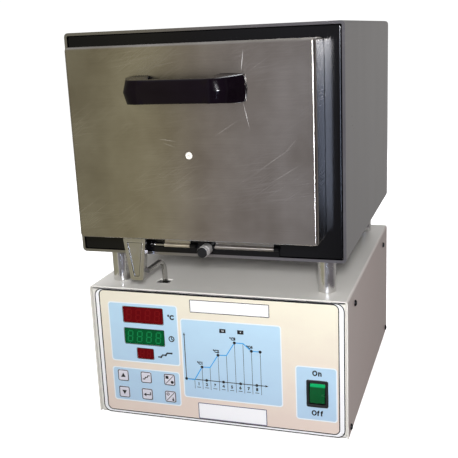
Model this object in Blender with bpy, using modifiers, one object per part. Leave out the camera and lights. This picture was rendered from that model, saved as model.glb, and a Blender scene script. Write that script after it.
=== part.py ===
"""Small preheating furnace: a chamber with a drop-down door, on four posts over its control box.

Metres, +Z up, the floor at zero. The front looks towards -Y, and the origin is under the middle.
"""

import math

import bmesh
import bpy
from mathutils import Matrix, Vector

# General clearances and sheet
GAP = 0.0003  # between pieces that touch
OVERRUN = 0.002  # how far a cutter runs past a face
SHEET = 0.0015
FOLD = 0.003  # outer radius of a folded edge
SCREW_HOLE_RADIUS = 0.0021

# Control box
BOX_WIDTH = 0.300
BOX_DEPTH = 0.336
BOX_HEIGHT = 0.158
TRAY_SIDE_RETURN = 0.060
TRAY_FLOOR_RETURN = 0.016
FOOT_HEIGHT = 0.008
FOOT_RADIUS = 0.011
FOOT_INSET = 0.030
FOOT_CHAMFER = 0.002
UPPER_SCREW_BACK = 0.046
UPPER_SCREW_RISE = 0.141
LOWER_SCREW_BACK = 0.015
LOWER_SCREW_RISE = 0.0075

# Front overlay and what shows through it
OVERLAY_THICKNESS = 0.0008
OVERLAY_LEFT_MARGIN = 0.0069
OVERLAY_RIGHT_MARGIN = 0.0031
OVERLAY_FOOT_MARGIN = 0.0012
OVERLAY_HEAD_MARGIN = 0.0020
OVERLAY_CORNER = 0.009
WINDOW_WIDTH = 0.0488
WINDOW_HEIGHT = 0.0186
WINDOW_INSET = 0.0658
UPPER_WINDOW_RISE = 0.1265
LOWER_WINDOW_RISE = 0.1003
SMALL_WINDOW_WIDTH = 0.0200
SMALL_WINDOW_HEIGHT = 0.0122
SMALL_WINDOW_RISE = 0.0797
WINDOW_CORNER = 0.0008
MODULE_MARGIN = 0.0016
MODULE_DEPTH = 0.0080
KEY_WIDTH = 0.0136
KEY_HEIGHT = 0.0140
KEY_CORNER = 0.0022
KEY_INSET = 0.0353
KEY_PITCH = 0.02925
KEY_RISE = 0.0289
KEY_ROW_PITCH = 0.0211
KEY_PROUD = 0.0004
KEY_TRAVEL = 0.0005
BOARD_THICKNESS = 0.0016
BOARD_LEFT_INSET = 0.020
BOARD_RIGHT_INSET = 0.065
BOARD_FOOT = 0.014
BOARD_HEAD = 0.148
STANDOFF_RADIUS = 0.0030
STANDOFF_INSET = 0.006
CONTACT_RADIUS = 0.0030

# Rocker switch
SWITCH_INSET = 0.0332
SWITCH_RISE = 0.0515
BEZEL_WIDTH = 0.0240
BEZEL_HEIGHT = 0.0312
BEZEL_PROUD = 0.0022
BEZEL_CORNER = 0.0016
SWITCH_BODY_WIDTH = 0.0212
SWITCH_BODY_HEIGHT = 0.0284
SWITCH_BODY_DEPTH = 0.0240
ROCKER_WIDTH = 0.0168
ROCKER_HEIGHT = 0.0236
ROCKER_SIDE_CLEARANCE = 0.0006
ROCKER_POCKET_DEPTH = 0.0150
ROCKER_PIVOT_DEPTH = 0.0045
ROCKER_CREST = 0.0052
ROCKER_WING = 0.0030
ROCKER_TILT = math.radians(8)

# Rear wall of the control box
INLET_INSET = 0.065
INLET_RISE = 0.050
INLET_WIDTH = 0.048
INLET_HEIGHT = 0.028
INLET_BODY_WIDTH = 0.0275
INLET_BODY_HEIGHT = 0.0205
INLET_FLANGE = 0.0030
INLET_BODY_DEPTH = 0.0220
SOCKET_WIDTH = 0.0235
SOCKET_HEIGHT = 0.0160
SOCKET_DEPTH = 0.0170
INLET_PIN_WIDTH = 0.0020
INLET_PIN_HEIGHT = 0.0040
INLET_PIN_PITCH = 0.0070
FUSE_INSET = 0.110
FUSE_CAP_RADIUS = 0.0075
FUSE_CAP_HEIGHT = 0.0070
FUSE_BODY_RADIUS = 0.0060
FUSE_BODY_DEPTH = 0.0300
BOX_VENT_INSET = 0.085
BOX_VENT_RISE = 0.080
VENT_WIDTH = 0.060
VENT_HEIGHT = 0.0040
VENT_PITCH = 0.0100
VENT_COUNT = 6

# Inside the control box
TRANSFORMER_INSET = 0.065
TRANSFORMER_BACK = 0.170
TRANSFORMER_WIDTH = 0.060
TRANSFORMER_DEPTH = 0.050
TRANSFORMER_HEIGHT = 0.050
COIL_WIDTH = 0.044
COIL_DEPTH = 0.066
COIL_HEIGHT = 0.034
SINK_INSET = 0.090
SINK_BACK = 0.200
SINK_WIDTH = 0.080
SINK_DEPTH = 0.090
SINK_BASE = 0.006
SINK_HEIGHT = 0.030
SINK_FIN = 0.002
SINK_FIN_COUNT = 8
RELAY_WIDTH = 0.045
RELAY_DEPTH = 0.058
RELAY_HEIGHT = 0.023
TERMINAL_X = -0.010
TERMINAL_BACK = 0.270
TERMINAL_WIDTH = 0.072
TERMINAL_DEPTH = 0.022
TERMINAL_HEIGHT = 0.018
TERMINAL_COUNT = 6
TERMINAL_BORE = 0.0025

# Posts between the control box and the furnace
POST_RADIUS = 0.0098
POST_WALL = 0.0015
POST_HEIGHT = 0.0434
POST_SIDE_INSET = 0.0278
POST_FRONT_INSET = 0.0315
POST_REAR_INSET = 0.0350

# Furnace casing
BODY_WIDTH = 0.300
BODY_HEIGHT = 0.240
BODY_DEPTH = 0.346
BODY_OVERHANG = 0.006
HEM_WIDTH = 0.0030
SHELL_FOLD = 0.0042
HEM_DEPTH = 0.0090
REAR_FLANGE = 0.014
FRAME_RECESS = 0.0004
FRAME_SHEET = 0.0020
FRAME_FOLD = 0.0026
REAR_COVER_MARGIN = 0.003

# Chamber
CHAMBER_RISE = 0.116
CHAMBER_WIDTH = 0.140
CHAMBER_HEIGHT = 0.100
CHAMBER_DEPTH = 0.190
CHAMBER_CORNER = 0.008
MUFFLE_WALL = 0.012
MUFFLE_FLANGE = 0.006
MUFFLE_FLANGE_LENGTH = 0.010
WIRE_RADIUS = 0.0016
WINDING_TURNS = 10
WINDING_POINTS = 24
HEARTH_MARGIN = 0.0045
HEARTH_DEPTH = 0.180
HEARTH_BASE = 0.005
HEARTH_RIB = 0.004
HEARTH_RIB_COUNT = 7
PORT_RISE = 0.030
PORT_RADIUS = 0.010
PORT_WALL = 0.003
PORT_FLANGE_RADIUS = 0.018
PORT_FLANGE = 0.002
PORT_PROJECTION = 0.012
PROBE_DROP = 0.015
PROBE_RADIUS = 0.003
PROBE_REACH = 0.030
PROBE_HEAD_RADIUS = 0.009
PROBE_HEAD_LENGTH = 0.010

# Door
DOOR_WIDTH = 0.2592
DOOR_HEIGHT = 0.1978
DOOR_DEPTH = 0.0386
DOOR_GAP = 0.0014
DOOR_RISE = 0.0275
DOOR_SHEET = 0.0012
DOOR_FOLD = 0.0034
BACKPLATE = 0.0015
PLUG_CLEARANCE = 0.004
PLUG_REACH = 0.008
PLUG_TAPER = 0.002
PEEPHOLE_RADIUS = 0.0036
PEEPHOLE_BORE = 0.0014
PEEPHOLE_RECESS = 0.0005

# Bridge handle
HANDLE_RISE = 0.1815
HANDLE_LENGTH = 0.1240
HANDLE_BAR_LENGTH = 0.0980
HANDLE_GRIP_LENGTH = 0.0680
HANDLE_PROJECTION = 0.0355
HANDLE_RIDGE = 0.0045
HANDLE_BAR_DEPTH = 0.0130
HANDLE_BAR_HEIGHT = 0.0232
HANDLE_FOOT_HEIGHT = 0.0290
HANDLE_EDGE = 0.0030
NECK_SHARES = (0.68, 0.36)  # of the bar's stand-off, a third and two thirds of the way down a leg
BOLT_RADIUS = 0.0024
BOLT_HEAD_RADIUS = 0.0042
BOLT_HEAD_HEIGHT = 0.0030
BOLT_REACH = 0.0140
BOLT_X = 0.0500

# Hinges
HINGE_RADIUS = 0.0024
HINGE_LEAF = 0.0010
HINGE_RISE = 0.0122
HINGE_LEAF_UP = 0.030
HINGE_PIN_RADIUS = 0.0012
HINGE_PIN_CLEARANCE = 0.00025
HINGE_SIDE_CLEARANCE = 0.0004
HINGE_END = 0.0036
RIGHT_BASE_START = 0.0072
RIGHT_LEAF_START = 0.0103
RIGHT_LEAF_END = 0.0742
RIGHT_BASE_END = 0.0800
LEFT_BASE_START = -0.0636
LEFT_LEAF_START = -0.0483
LEFT_LEAF_END = -0.0188
LEFT_BASE_END = -0.0120

# Door stop
STOP_RISE = 0.0092
STOP_RADIUS = 0.0062
STOP_CLEARANCE = 0.0005
BUMPER_LENGTH = 0.0060
BUMPER_RADIUS = 0.0058
BUMPER_CHAMFER = 0.0012

# Safety lever
PADDLE_FRONT = 0.0204
PADDLE_THICKNESS = 0.0082
PADDLE_CENTRE_X = -0.0787
PADDLE_TOP_WIDTH = 0.0266
PADDLE_FOOT_WIDTH = 0.0150
PADDLE_TOP_RISE = 0.0211
PADDLE_HEIGHT = 0.0475
PADDLE_FOOT_CORNER = 0.0028
PADDLE_TOP_CORNER = 0.0010
PADDLE_EDGE = 0.0008
PADDLE_POCKET_DEPTH = 0.0009
PADDLE_POCKET_MARGIN = 0.0048
ROD_RADIUS = 0.0030
ROD_X = -0.0690
ROD_RISE = 0.0265
ROD_BACK = 0.0345
ROD_BEND = 0.0170
SLOT_WIDTH = 0.0160
SLOT_LENGTH = 0.0150
SLOT_FORWARD = 0.0065
PIVOT_DROP = 0.038
HUB_RADIUS = 0.0070
HUB_LENGTH = 0.0100
LEVER_PIN_RADIUS = 0.0020
CHEEK = 0.0015
CHEEK_CLEARANCE = 0.0006
BRACKET_DEPTH = 0.0360
BRACKET_HEIGHT = 0.0440
LEVER_TAIL = 0.0220
TAIL_THICKNESS = 0.0030
MICROSWITCH_WIDTH = 0.0064
MICROSWITCH_DEPTH = 0.0100
MICROSWITCH_HEIGHT = 0.0198
MICROSWITCH_BACK = 0.0090
PLUNGER_RADIUS = 0.0010
PLUNGER_REACH = 0.0012
SPRING_WIRE_RADIUS = 0.0005
SPRING_RADIUS = 0.0036
SPRING_TURNS = 4
SPRING_POINTS = 12

# Places worked out from the sizes above
FRONT_REACH = BODY_OVERHANG + DOOR_GAP + DOOR_DEPTH + GAP + HANDLE_PROJECTION
REAR_REACH = BODY_DEPTH - BODY_OVERHANG + SHEET + GAP + PORT_PROJECTION
BOX_FRONT = (FRONT_REACH - REAR_REACH) / 2
BOX_LEFT = -BOX_WIDTH / 2
BOX_RIGHT = BOX_WIDTH / 2
BOX_REAR = BOX_FRONT + BOX_DEPTH
BOX_BOTTOM = FOOT_HEIGHT
BOX_TOP = BOX_BOTTOM + BOX_HEIGHT
BODY_BOTTOM = BOX_TOP + POST_HEIGHT
BODY_TOP = BODY_BOTTOM + BODY_HEIGHT
BODY_FRONT = BOX_FRONT - BODY_OVERHANG
BODY_REAR = BODY_FRONT + BODY_DEPTH
CHAMBER_Z = BODY_BOTTOM + CHAMBER_RISE
DOOR_BACK = BODY_FRONT - DOOR_GAP
DOOR_FRONT = DOOR_BACK - DOOR_DEPTH
DOOR_BOTTOM = BODY_BOTTOM + DOOR_RISE
DOOR_TOP = DOOR_BOTTOM + DOOR_HEIGHT
HINGE_Y = BODY_FRONT - HINGE_RADIUS
HINGE_Z = BODY_BOTTOM + HINGE_RISE
HANDLE_Z = BODY_BOTTOM + HANDLE_RISE
OVERLAY_FRONT = BOX_FRONT - GAP - OVERLAY_THICKNESS
WINDOW_X = BOX_LEFT + WINDOW_INSET
KEY_X = BOX_LEFT + KEY_INSET
BOARD_LEFT = BOX_LEFT + BOARD_LEFT_INSET
BOARD_RIGHT = BOX_RIGHT - BOARD_RIGHT_INSET
SWITCH_X = BOX_RIGHT - SWITCH_INSET
INLET_X = BOX_RIGHT - INLET_INSET
FUSE_X = BOX_RIGHT - FUSE_INSET
BOX_VENT_X = BOX_LEFT + BOX_VENT_INSET
TRANSFORMER_X = BOX_LEFT + TRANSFORMER_INSET
SINK_X = BOX_RIGHT - SINK_INSET
PIVOT_Y = BOX_FRONT + ROD_BACK
PIVOT_Z = BOX_TOP - PIVOT_DROP
MODULE_FRONT = BOX_FRONT + SHEET + GAP
BOARD_FRONT = MODULE_FRONT + MODULE_DEPTH
MOUTH_FRONT = BODY_FRONT + FRAME_RECESS
MUFFLE_REAR = BODY_FRONT + HEM_DEPTH + CHAMBER_DEPTH + MUFFLE_WALL

SEGMENTS = 16
PARTS = None
CUTTERS = None


def clear_scene():
    for obj in list(bpy.data.objects):
        bpy.data.objects.remove(obj, do_unlink=True)


def make_collection(name):
    collection = bpy.data.collections.new(name)
    bpy.context.scene.collection.children.link(collection)
    return collection


def material(name, colour, roughness, metallic=0.0):
    made = bpy.data.materials.get(name)
    if made is None:
        made = bpy.data.materials.new(name)
        made.use_nodes = True
        shader = made.node_tree.nodes["Principled BSDF"]
        shader.inputs["Base Color"].default_value = (*colour, 1.0)
        shader.inputs["Roughness"].default_value = roughness
        shader.inputs["Metallic"].default_value = metallic
    return made


def steel():
    return material("brushed_stainless", (0.55, 0.54, 0.51), 0.32, 1.0)


def white_paint():
    return material("off_white_paint", (0.78, 0.76, 0.72), 0.42)


def black_enamel():
    return material("black_enamel", (0.012, 0.012, 0.014), 0.25)


def black_plastic():
    return material("black_plastic", (0.015, 0.015, 0.015), 0.35)


def ceramic_fibre():
    return material("ceramic_fibre", (0.82, 0.79, 0.72), 0.9)


def fireclay():
    return material("fireclay", (0.70, 0.60, 0.48), 0.85)


def zinc_steel():
    return material("zinc_plated_steel", (0.50, 0.50, 0.50), 0.35, 1.0)


def rubber():
    return material("black_rubber", (0.02, 0.02, 0.02), 0.75)


def circuit_board():
    return material("circuit_board", (0.03, 0.16, 0.07), 0.5)


def place(name, mesh, look, location=(0, 0, 0)):
    obj = bpy.data.objects.new(name, mesh)
    obj.location = location
    mesh.materials.clear()
    mesh.materials.append(look)
    PARTS.objects.link(obj)
    return obj


def place_cutter(name, mesh, location=(0, 0, 0)):
    obj = bpy.data.objects.new(name, mesh)
    obj.location = location
    obj.hide_render = True
    obj.display_type = "WIRE"
    CUTTERS.objects.link(obj)
    return obj


def box_mesh(name, low, high, round_axis=None, radius=0.0, segments=3, skip=()):
    """A box about its own middle, with the faces named in skip left out and edges rounded."""
    size = Vector(high) - Vector(low)
    bm = bmesh.new()
    bmesh.ops.create_cube(bm, size=1.0, matrix=Matrix.Diagonal((*size, 1.0)))
    gone = [face for face in bm.faces if side_of(face.normal) in skip]
    bmesh.ops.delete(bm, geom=gone, context="FACES_ONLY")
    if radius > 0:
        edges = [edge for edge in bm.edges if len(edge.link_faces) == 2 and runs_along(edge, round_axis)]
        bmesh.ops.bevel(bm, geom=edges, offset=radius, segments=segments, affect="EDGES", profile=0.5)
    mesh = bpy.data.meshes.new(name)
    bm.to_mesh(mesh)
    bm.free()
    return mesh


def side_of(normal):
    axis = max(range(3), key=lambda i: abs(normal[i]))
    return ("+" if normal[axis] > 0 else "-") + "XYZ"[axis]


def runs_along(edge, axis):
    if axis is None:
        return True
    line = edge.verts[1].co - edge.verts[0].co
    return abs(line["XYZ".index(axis)]) > line.length / 2


def middle(low, high):
    return (Vector(low) + Vector(high)) / 2


def block(name, low, high, look, round_axis=None, radius=0.0, segments=3):
    return place(name, box_mesh(name, low, high, round_axis, radius, segments), look, middle(low, high))


def sheet_box(name, low, high, open_sides, look, wall=SHEET, radius=FOLD, segments=3):
    """Folded sheet: the box's faces less the open ones, with the wall growing inwards."""
    mesh = box_mesh(name, low, high, None, radius, segments, open_sides)
    obj = place(name, mesh, look, middle(low, high))
    solid = obj.modifiers.new("wall", "SOLIDIFY")
    solid.thickness = wall
    solid.offset = -1.0
    solid.use_even_offset = True
    return obj


def box_cutter(low, high, round_axis=None, radius=0.0, segments=3):
    mesh = box_mesh("cutter", low, high, round_axis, radius, segments)
    return place_cutter("cutter", mesh, middle(low, high))


def aim(direction):
    return Vector(direction).to_track_quat("Z", "Y").to_matrix().to_4x4()


def rods_mesh(name, spots, radius, length, segments=12):
    """One mesh of equal cylinders. Each spot is its start and the way it runs."""
    bm = bmesh.new()
    for start, direction in spots:
        centre = Vector(start) + Vector(direction).normalized() * length / 2
        matrix = Matrix.Translation(centre) @ aim(direction)
        bmesh.ops.create_cone(
            bm, cap_ends=True, segments=segments, radius1=radius, radius2=radius, depth=length, matrix=matrix
        )
    mesh = bpy.data.meshes.new(name)
    bm.to_mesh(mesh)
    bm.free()
    return mesh


def boxes_mesh(name, spans, radius=0.0, round_axis=None):
    """One mesh of separate boxes. Each span is a low and a high corner."""
    bm = bmesh.new()
    for low, high in spans:
        piece = box_mesh(name, low, high, round_axis, radius)
        piece.transform(Matrix.Translation(middle(low, high)))
        bm.from_mesh(piece)
        bpy.data.meshes.remove(piece)
    mesh = bpy.data.meshes.new(name)
    bm.to_mesh(mesh)
    bm.free()
    return mesh


def cut(target, cutter):
    change = target.modifiers.new("cut", "BOOLEAN")
    change.operation = "DIFFERENCE"
    change.solver = "EXACT"
    change.object = cutter


def join(target, guide):
    change = target.modifiers.new("join", "BOOLEAN")
    change.operation = "UNION"
    change.solver = "EXACT"
    change.object = guide


def drill(target, spots, radius, length, segments=12):
    """Cut a round hole at each spot, starting a little before it."""
    early = [(Vector(start) - Vector(way).normalized() * OVERRUN, way) for start, way in spots]
    cut(target, place_cutter("drill", rods_mesh("drill", early, radius, length + OVERRUN, segments)))


def smooth(obj, angle=math.radians(35)):
    obj.data.shade_smooth()
    obj.data.set_sharp_from_angle(angle=angle)


def soften(obj, width, segments=2):
    """Round the edges where faces meet at more than half a right angle."""
    bevel = obj.modifiers.new("edges", "BEVEL")
    bevel.width = width
    bevel.segments = segments
    bevel.limit_method = "ANGLE"
    bevel.angle_limit = math.radians(46)


def turned(name, profile, look, location, direction=(0, 0, 1), closed=False, segments=SEGMENTS):
    """A turned piece. The profile is radius and height, down the outer side."""
    mesh = bpy.data.meshes.new(name)
    count = len(profile)
    edges = [(i, i + 1) for i in range(count - 1)]
    if closed:
        edges.append((count - 1, 0))
    mesh.from_pydata([(radius, 0, height) for radius, height in profile], edges, [])
    obj = place(name, mesh, look, location)
    obj.rotation_euler = aim(direction).to_euler()
    spin = obj.modifiers.new("turn", "SCREW")
    spin.steps = segments
    spin.render_steps = segments
    spin.use_merge_vertices = True
    spin.merge_threshold = 0.00001
    return obj


def evaluated_mesh(obj, weld=True):
    """The object's finished mesh in world space. The object itself is removed."""
    bpy.context.view_layer.update()
    graph = bpy.context.evaluated_depsgraph_get()
    mesh = bpy.data.meshes.new_from_object(obj.evaluated_get(graph))
    mesh.transform(obj.matrix_world)
    if weld:
        bm = bmesh.new()
        bm.from_mesh(mesh)
        bmesh.ops.remove_doubles(bm, verts=bm.verts, dist=GAP / 10)
        bm.to_mesh(mesh)
        bm.free()
    bpy.data.objects.remove(obj, do_unlink=True)
    return mesh


def bolt_profile(head_radius, head_height, shank_radius, length):
    return [
        (0, head_height),
        (head_radius / 2, head_height),
        (head_radius, head_height / 2),
        (head_radius, 0),
        (shank_radius, 0),
        (shank_radius, -length),
        (0, -length),
    ]


TO_SIDE = Matrix(((0, 0, 1, 0), (1, 0, 0, 0), (0, 1, 0, 0), (0, 0, 0, 1)))
TO_FRONT = Matrix(((1, 0, 0, 0), (0, 0, -1, 0), (0, 1, 0, 0), (0, 0, 0, 1)))


def outline_mesh(name, points, thickness, turn):
    """A flat outline with thickness. TO_SIDE reads the points as Y and Z, TO_FRONT as X and Z."""
    curve = bpy.data.curves.new(name, "CURVE")
    curve.dimensions = "2D"
    curve.fill_mode = "BOTH"
    curve.extrude = thickness / 2
    spline = curve.splines.new("POLY")
    spline.points.add(len(points) - 1)
    for point, (a, b) in zip(spline.points, points):
        point.co = (a, b, 0, 1)
    spline.use_cyclic_u = True
    obj = bpy.data.objects.new(name, curve)
    PARTS.objects.link(obj)
    mesh = evaluated_mesh(obj)
    mesh.transform(turn)
    return mesh


def arc(centre, radius, start, end, steps):
    """Points from one angle to another, in degrees."""
    angles = [math.radians(start + (end - start) * i / steps) for i in range(steps + 1)]
    return [(centre[0] + radius * math.cos(a), centre[1] + radius * math.sin(a)) for a in angles]


def rounded_outline(corners, radii, steps=4):
    """A polygon's points with each corner turned to an arc of its own radius."""
    points = []
    count = len(corners)
    for i, (corner, radius) in enumerate(zip(corners, radii)):
        here = Vector(corner)
        before = (Vector(corners[i - 1]) - here).normalized()
        after = (Vector(corners[(i + 1) % count]) - here).normalized()
        half = before.angle(after) / 2
        reach = radius / math.tan(half)
        heart = here + (before + after).normalized() * radius / math.sin(half)
        first = here + before * reach - heart
        last = here + after * reach - heart
        sweep = first.angle_signed(last)
        for k in range(steps + 1):
            turn = Matrix.Rotation(-sweep * k / steps, 2)
            points.append(tuple(heart + turn @ first))
    return points


def tube(name, points, radius, look, resolution=2):
    curve = bpy.data.curves.new(name, "CURVE")
    curve.dimensions = "3D"
    curve.bevel_depth = radius
    curve.bevel_resolution = resolution
    curve.use_fill_caps = True
    spline = curve.splines.new("POLY")
    spline.points.add(len(points) - 1)
    for point, co in zip(spline.points, points):
        point.co = (*co, 1)
    obj = bpy.data.objects.new(name, curve)
    curve.materials.append(look)
    PARTS.objects.link(obj)
    return obj


def rectangle_ring(half_width, half_height, corner, steps=3):
    """Points of a rounded rectangle in X and Z, counted the same for every size."""
    ring = []
    for quarter, (sx, sz) in enumerate(((1, 1), (-1, 1), (-1, -1), (1, -1))):
        heart = (sx * (half_width - corner), sz * (half_height - corner))
        ring += arc(heart, corner, 90 * quarter, 90 * quarter + 90, steps)
    return ring


def loft_mesh(name, sections):
    """Skin closed rings of equal count. Each section is a list of points, front to back."""
    bm = bmesh.new()
    rings = [[bm.verts.new(point) for point in section] for section in sections]
    for near, far in zip(rings, rings[1:]):
        for i in range(len(near)):
            bm.faces.new((near[i - 1], near[i], far[i], far[i - 1]))
    bm.faces.new(rings[0])
    bm.faces.new(list(reversed(rings[-1])))
    bmesh.ops.recalc_face_normals(bm, faces=bm.faces)
    mesh = bpy.data.meshes.new(name)
    bm.to_mesh(mesh)
    bm.free()
    return mesh


def rectangle_loft(name, steps, corner, look, centre):
    """A stepped or tapered block along Y. Each step is its Y, half width and half height."""
    sections = [[(x, y, z) for x, z in rectangle_ring(w, h, corner)] for y, w, h in steps]
    return place(name, loft_mesh(name, sections), look, centre)


def make_empty(name, location):
    empty = bpy.data.objects.new(name, None)
    empty.location = location
    PARTS.objects.link(empty)
    return empty


def hang(pieces, carrier):
    """Parent pieces to their axis, and leave them where they are."""
    bpy.context.view_layer.update()
    for piece in pieces:
        piece.parent = carrier
        piece.matrix_parent_inverse = carrier.matrix_world.inverted()


def side_screw_spots():
    """Where screws cross the box from its left side to its right, and the way they run."""
    spots = []
    for back, rise in ((UPPER_SCREW_BACK, UPPER_SCREW_RISE), (LOWER_SCREW_BACK, LOWER_SCREW_RISE)):
        for y in (BOX_FRONT + back, BOX_REAR - back):
            spots.append(((-BOX_WIDTH / 2, y, BOX_BOTTOM + rise), (1, 0, 0)))
    return spots


def key_places():
    places = []
    for row in (1, 0):
        for column in range(3):
            places.append((KEY_X + column * KEY_PITCH, BOX_BOTTOM + KEY_RISE + row * KEY_ROW_PITCH))
    return places


def window_places():
    """Name, middle and size of each display window."""
    return (
        ("upper", BOX_BOTTOM + UPPER_WINDOW_RISE, WINDOW_WIDTH, WINDOW_HEIGHT),
        ("lower", BOX_BOTTOM + LOWER_WINDOW_RISE, WINDOW_WIDTH, WINDOW_HEIGHT),
        ("program", BOX_BOTTOM + SMALL_WINDOW_RISE, SMALL_WINDOW_WIDTH, SMALL_WINDOW_HEIGHT),
    )


def front_spans(front, back, spread):
    """Boxes through the front wall for the windows and keys, wider by spread all round."""
    spans = []
    for _, z, width, height in window_places():
        half = (width / 2 + spread, height / 2 + spread)
        spans.append(((WINDOW_X - half[0], front, z - half[1]), (WINDOW_X + half[0], back, z + half[1])))
    for x, z in key_places():
        half = (KEY_WIDTH / 2 + spread, KEY_HEIGHT / 2 + spread)
        spans.append(((x - half[0], front, z - half[1]), (x + half[0], back, z + half[1])))
    return spans


def switch_span(front, back, width, height):
    z = BOX_BOTTOM + SWITCH_RISE
    low = (SWITCH_X - width / 2, front, z - height / 2)
    return low, (SWITCH_X + width / 2, back, z + height / 2)


def make_base_tray():
    edge = BOX_WIDTH / 2 - SHEET - GAP
    low = (-edge, BOX_FRONT, BOX_BOTTOM)
    high = (edge, BOX_REAR, BOX_TOP - FOLD - GAP)
    tray = sheet_box("base_tray", low, high, ("+Z",), white_paint())
    side = ((-BOX_WIDTH, BOX_FRONT + TRAY_SIDE_RETURN, BOX_BOTTOM + TRAY_FLOOR_RETURN),
            (BOX_WIDTH, BOX_REAR - TRAY_SIDE_RETURN, BOX_TOP))
    cut(tray, box_cutter(*side))
    spans = front_spans(BOX_FRONT - OVERRUN, BOX_FRONT + SHEET + OVERRUN, GAP)
    spans.append(switch_span(BOX_FRONT - OVERRUN, BOX_FRONT + SHEET + OVERRUN,
                             SWITCH_BODY_WIDTH + GAP * 2, SWITCH_BODY_HEIGHT + GAP * 2))
    spans.append(rear_span(INLET_X, INLET_RISE, INLET_BODY_WIDTH + GAP * 2, INLET_BODY_HEIGHT + GAP * 2))
    for i in range(VENT_COUNT):
        rise = BOX_VENT_RISE + i * VENT_PITCH - vent_rise()
        spans.append(rear_span(BOX_VENT_X, rise, VENT_WIDTH, VENT_HEIGHT))
    cut(tray, place_cutter("openings", boxes_mesh("openings", spans)))
    drill(tray, [((FUSE_X, BOX_REAR, BOX_BOTTOM + INLET_RISE), (0, -1, 0))],
          FUSE_BODY_RADIUS + GAP, SHEET + OVERRUN)
    drill(tray, side_screw_spots(), SCREW_HOLE_RADIUS, BOX_WIDTH, 8)
    return tray


def vent_rise():
    return VENT_PITCH * (VENT_COUNT - 1) / 2


def rear_span(x, rise, width, height):
    """A box through the tray's rear wall."""
    z = BOX_BOTTOM + rise
    low = (x - width / 2, BOX_REAR - SHEET - OVERRUN, z - height / 2)
    return low, (x + width / 2, BOX_REAR + OVERRUN, z + height / 2)


def make_cover():
    low = (-BOX_WIDTH / 2, BOX_FRONT, BOX_BOTTOM)
    high = (BOX_WIDTH / 2, BOX_REAR, BOX_TOP)
    cover = sheet_box("cover", low, high, ("-Z", "-Y", "+Y"), white_paint())
    start = PIVOT_Y - SLOT_FORWARD - ROD_RADIUS
    slot = ((ROD_X - SLOT_WIDTH / 2, start, BOX_TOP - SHEET - OVERRUN),
            (ROD_X + SLOT_WIDTH / 2, start + SLOT_LENGTH, BOX_TOP + OVERRUN))
    cut(cover, box_cutter(*slot, round_axis="Z", radius=ROD_RADIUS / 2))
    drill(cover, side_screw_spots(), SCREW_HOLE_RADIUS, BOX_WIDTH, 8)
    return cover


def make_rubber_feet():
    sole = -FOOT_HEIGHT + GAP
    profile = [
        (0, 0),
        (FOOT_RADIUS, 0),
        (FOOT_RADIUS, sole + FOOT_CHAMFER),
        (FOOT_RADIUS - FOOT_CHAMFER, sole),
        (0, sole),
    ]
    x = BOX_WIDTH / 2 - FOOT_INSET
    for end, y in (("front", BOX_FRONT + FOOT_INSET), ("rear", BOX_REAR - FOOT_INSET)):
        for side, across in (("left", -x), ("right", x)):
            foot = turned(f"foot_{end}_{side}", profile, rubber(), (across, y, BOX_BOTTOM - GAP))
            smooth(foot)


def make_front_overlay():
    low = (BOX_LEFT + OVERLAY_LEFT_MARGIN, OVERLAY_FRONT, BOX_BOTTOM + OVERLAY_FOOT_MARGIN)
    high = (BOX_RIGHT - OVERLAY_RIGHT_MARGIN, BOX_FRONT - GAP, BOX_TOP - OVERLAY_HEAD_MARGIN)
    overlay = block("front_overlay", low, high, white_paint(), "Y", OVERLAY_CORNER, 5)
    front = OVERLAY_FRONT - OVERRUN
    spans = front_spans(front, BOX_FRONT + OVERRUN, GAP)
    hole = (SWITCH_BODY_WIDTH + GAP * 2, SWITCH_BODY_HEIGHT + GAP * 2)
    spans.append(switch_span(front, BOX_FRONT + OVERRUN, *hole))
    cut(overlay, place_cutter("overlay_openings", boxes_mesh("overlay_openings", spans)))
    return overlay


def make_windows():
    """Tinted panes that fill the overlay's openings."""
    tints = {"upper": (0.30, 0.01, 0.02), "lower": (0.01, 0.13, 0.05), "program": (0.30, 0.01, 0.02)}
    for name, z, width, height in window_places():
        look = material("pane_" + name, tints[name], 0.15)
        low = (WINDOW_X - width / 2, OVERLAY_FRONT, z - height / 2)
        high = (WINDOW_X + width / 2, BOX_FRONT + SHEET, z + height / 2)
        block("display_window_" + name, low, high, look, "Y", WINDOW_CORNER, 1)


def make_keys():
    names = ("key_raise", "key_program", "key_mode", "key_lower", "key_enter", "key_time")
    keys = []
    for name, (x, z) in zip(names, key_places()):
        low = (x - KEY_WIDTH / 2, OVERLAY_FRONT - KEY_PROUD, z - KEY_HEIGHT / 2)
        high = (x + KEY_WIDTH / 2, BOX_FRONT + SHEET, z + KEY_HEIGHT / 2)
        keys.append(block(name, low, high, white_paint(), "Y", KEY_CORNER, 3))
    return keys


def board_corners():
    left = BOARD_LEFT + STANDOFF_INSET
    right = BOARD_RIGHT - STANDOFF_INSET
    foot = BOX_BOTTOM + BOARD_FOOT + STANDOFF_INSET
    head = BOX_BOTTOM + BOARD_HEAD - STANDOFF_INSET
    return [(x, z) for x in (left, right) for z in (foot, head)]


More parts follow.
